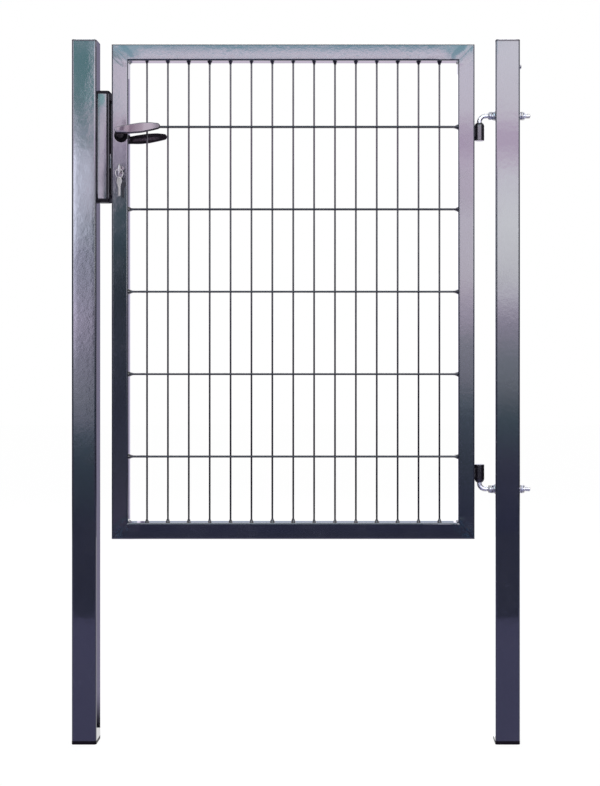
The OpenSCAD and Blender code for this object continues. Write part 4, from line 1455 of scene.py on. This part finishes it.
def make_studio():
    sheet("pale_floor", lying(14.0, -14.0, 14.0, 0), floor_material())
    front = softbox_material()
    box = sheet("front_softbox", standing(PANEL_LEFT, PANEL_RIGHT, PANEL_Y, 0, PANEL_TOP), front)
    box.visible_camera = False

    floor_z, middle_y, reach = 1.5 * MM, -1.66, 5
    card_low, card_high = 0.531, 1.63
    lock_x, hinge_x, post_x = LEAF.low.x + FRAME_SIDE, LEAF.high.x - FRAME_SIDE, HINGE_POST.low.x
    side = card_material("side_gradient", (0.03, 0.03, 0.05), (0.50, 0.50, 0.56), 1.4, 2.6)
    for name, corners, finish in (
        ("near_floor_card", lying(reach, middle_y, -0.031, floor_z),
         card_material("near_floor", (0.26, 0.245, 0.48))),
        ("far_floor_card", lying(reach, PANEL_Y, middle_y, floor_z),
         card_material("far_floor", (0.06, 0.06, 0.11))),
        ("front_wide_card", standing(-reach, reach, -4.02, 0, 5), front),
        ("back_wall_card", standing(-reach, reach, 4.6, 0, 1),
         card_material("back_wall", (0.03, 0.03, 0.05), (0.88, 0.78, 0.95), 0.0, 0.70)),
        ("upper_back_card", standing(-reach, reach, 4.6, 1, 5),
         card_material("upper_back_wall", (0.36, 0.42, 0.56), (0.85, 0.82, 0.95), 1.2, 2.2)),
        ("left_side_card", sideways(-reach, -4.3, 3.0, 0, 5), side),
        ("right_side_card", sideways(reach, -4.3, 3.0, 0, 5), side),
        ("lock_stile_card", standing(lock_x + 6 * MM, lock_x + 24 * MM, 0.09, card_low, card_high),
         card_material("beside_lock_stile", (0.95, 0.88, 1.10), (0.20, 0.18, 0.29),
                       lock_x + 10.8 * MM, lock_x + 17 * MM, 0)),
        ("hinge_stile_card", standing(hinge_x - 8 * MM, hinge_x, 0.03, card_low, card_high),
         card_material("beside_hinge_stile", (1.30, 1.28, 1.45))),
        ("hinge_post_card", standing(post_x - 10 * MM, post_x - 0.5 * MM, 0.04, 0.002, 1.72),
         card_material("beside_hinge_post", (2.2, 2.2, 2.3))),
        ("key_card", sideways(-1.4, -0.090, -0.031, 1.330, 1.425),
         card_material("beside_keys", (1.7, 1.7, 1.8))),
        ("gap_card", standing(-0.99, -0.93, 0.12, 0.002, 1.75),
         card_material("behind_the_gap", (0.001, 0.001, 0.001), (0.26, 0.24, 0.35), 0.0, 0.10)),
    ):
        card = sheet(name, corners, finish)
        card.visible_camera = False
        card.visible_diffuse = False
        card.visible_shadow = False
        card.visible_transmission = False

    light_panel("top_light", (3.0, 2.4), facing((0, 0, -1), (-0.5, 0.2, 4.2)), 1.2)
    light_panel("back_light", (3.2, 1.6), facing((0, -1, -0.75), (-0.5, 3.4, 3.5), "-Z"), 3.0)

    # Rays that the camera sends see white air, and the others a dimmer one.
    dimmed = 0.45
    world = bpy.data.worlds.new("studio")
    bpy.context.scene.world = world
    air = Shading(world)
    level = air.seen() * (1.0 - dimmed) + dimmed
    white = air.node("ShaderNodeBackground", {"Color": (1, 1, 1, 1), "Strength": level})
    air.surface(white["Background"], "World")


EYE = (-0.369, -3.566, 0.968)
LENS, LENS_SHIFT = 67.05, (-0.0700, -0.0623)


def make_camera():
    data = bpy.data.cameras.new("camera")
    data.sensor_fit = "VERTICAL"
    data.sensor_height = 36
    data.sensor_width = 36
    data.lens = LENS
    data.shift_x, data.shift_y = LENS_SHIFT
    made = in_scene("camera", data)
    made.location = EYE
    made.rotation_euler = (QUARTER, 0, 0)
    bpy.context.scene.camera = made
    bpy.context.scene.view_settings.view_transform = "Standard"


# ---- Build ----

make_camera()
make_posts()
make_keep()
make_hinge_fixings()
finish_node(FRAME_COAT, *LEAF_TUBES)
make_mesh()
make_frame_welds()
make_barrels()
make_lock()
make_roses()
make_levers()
make_keys()
make_studio()
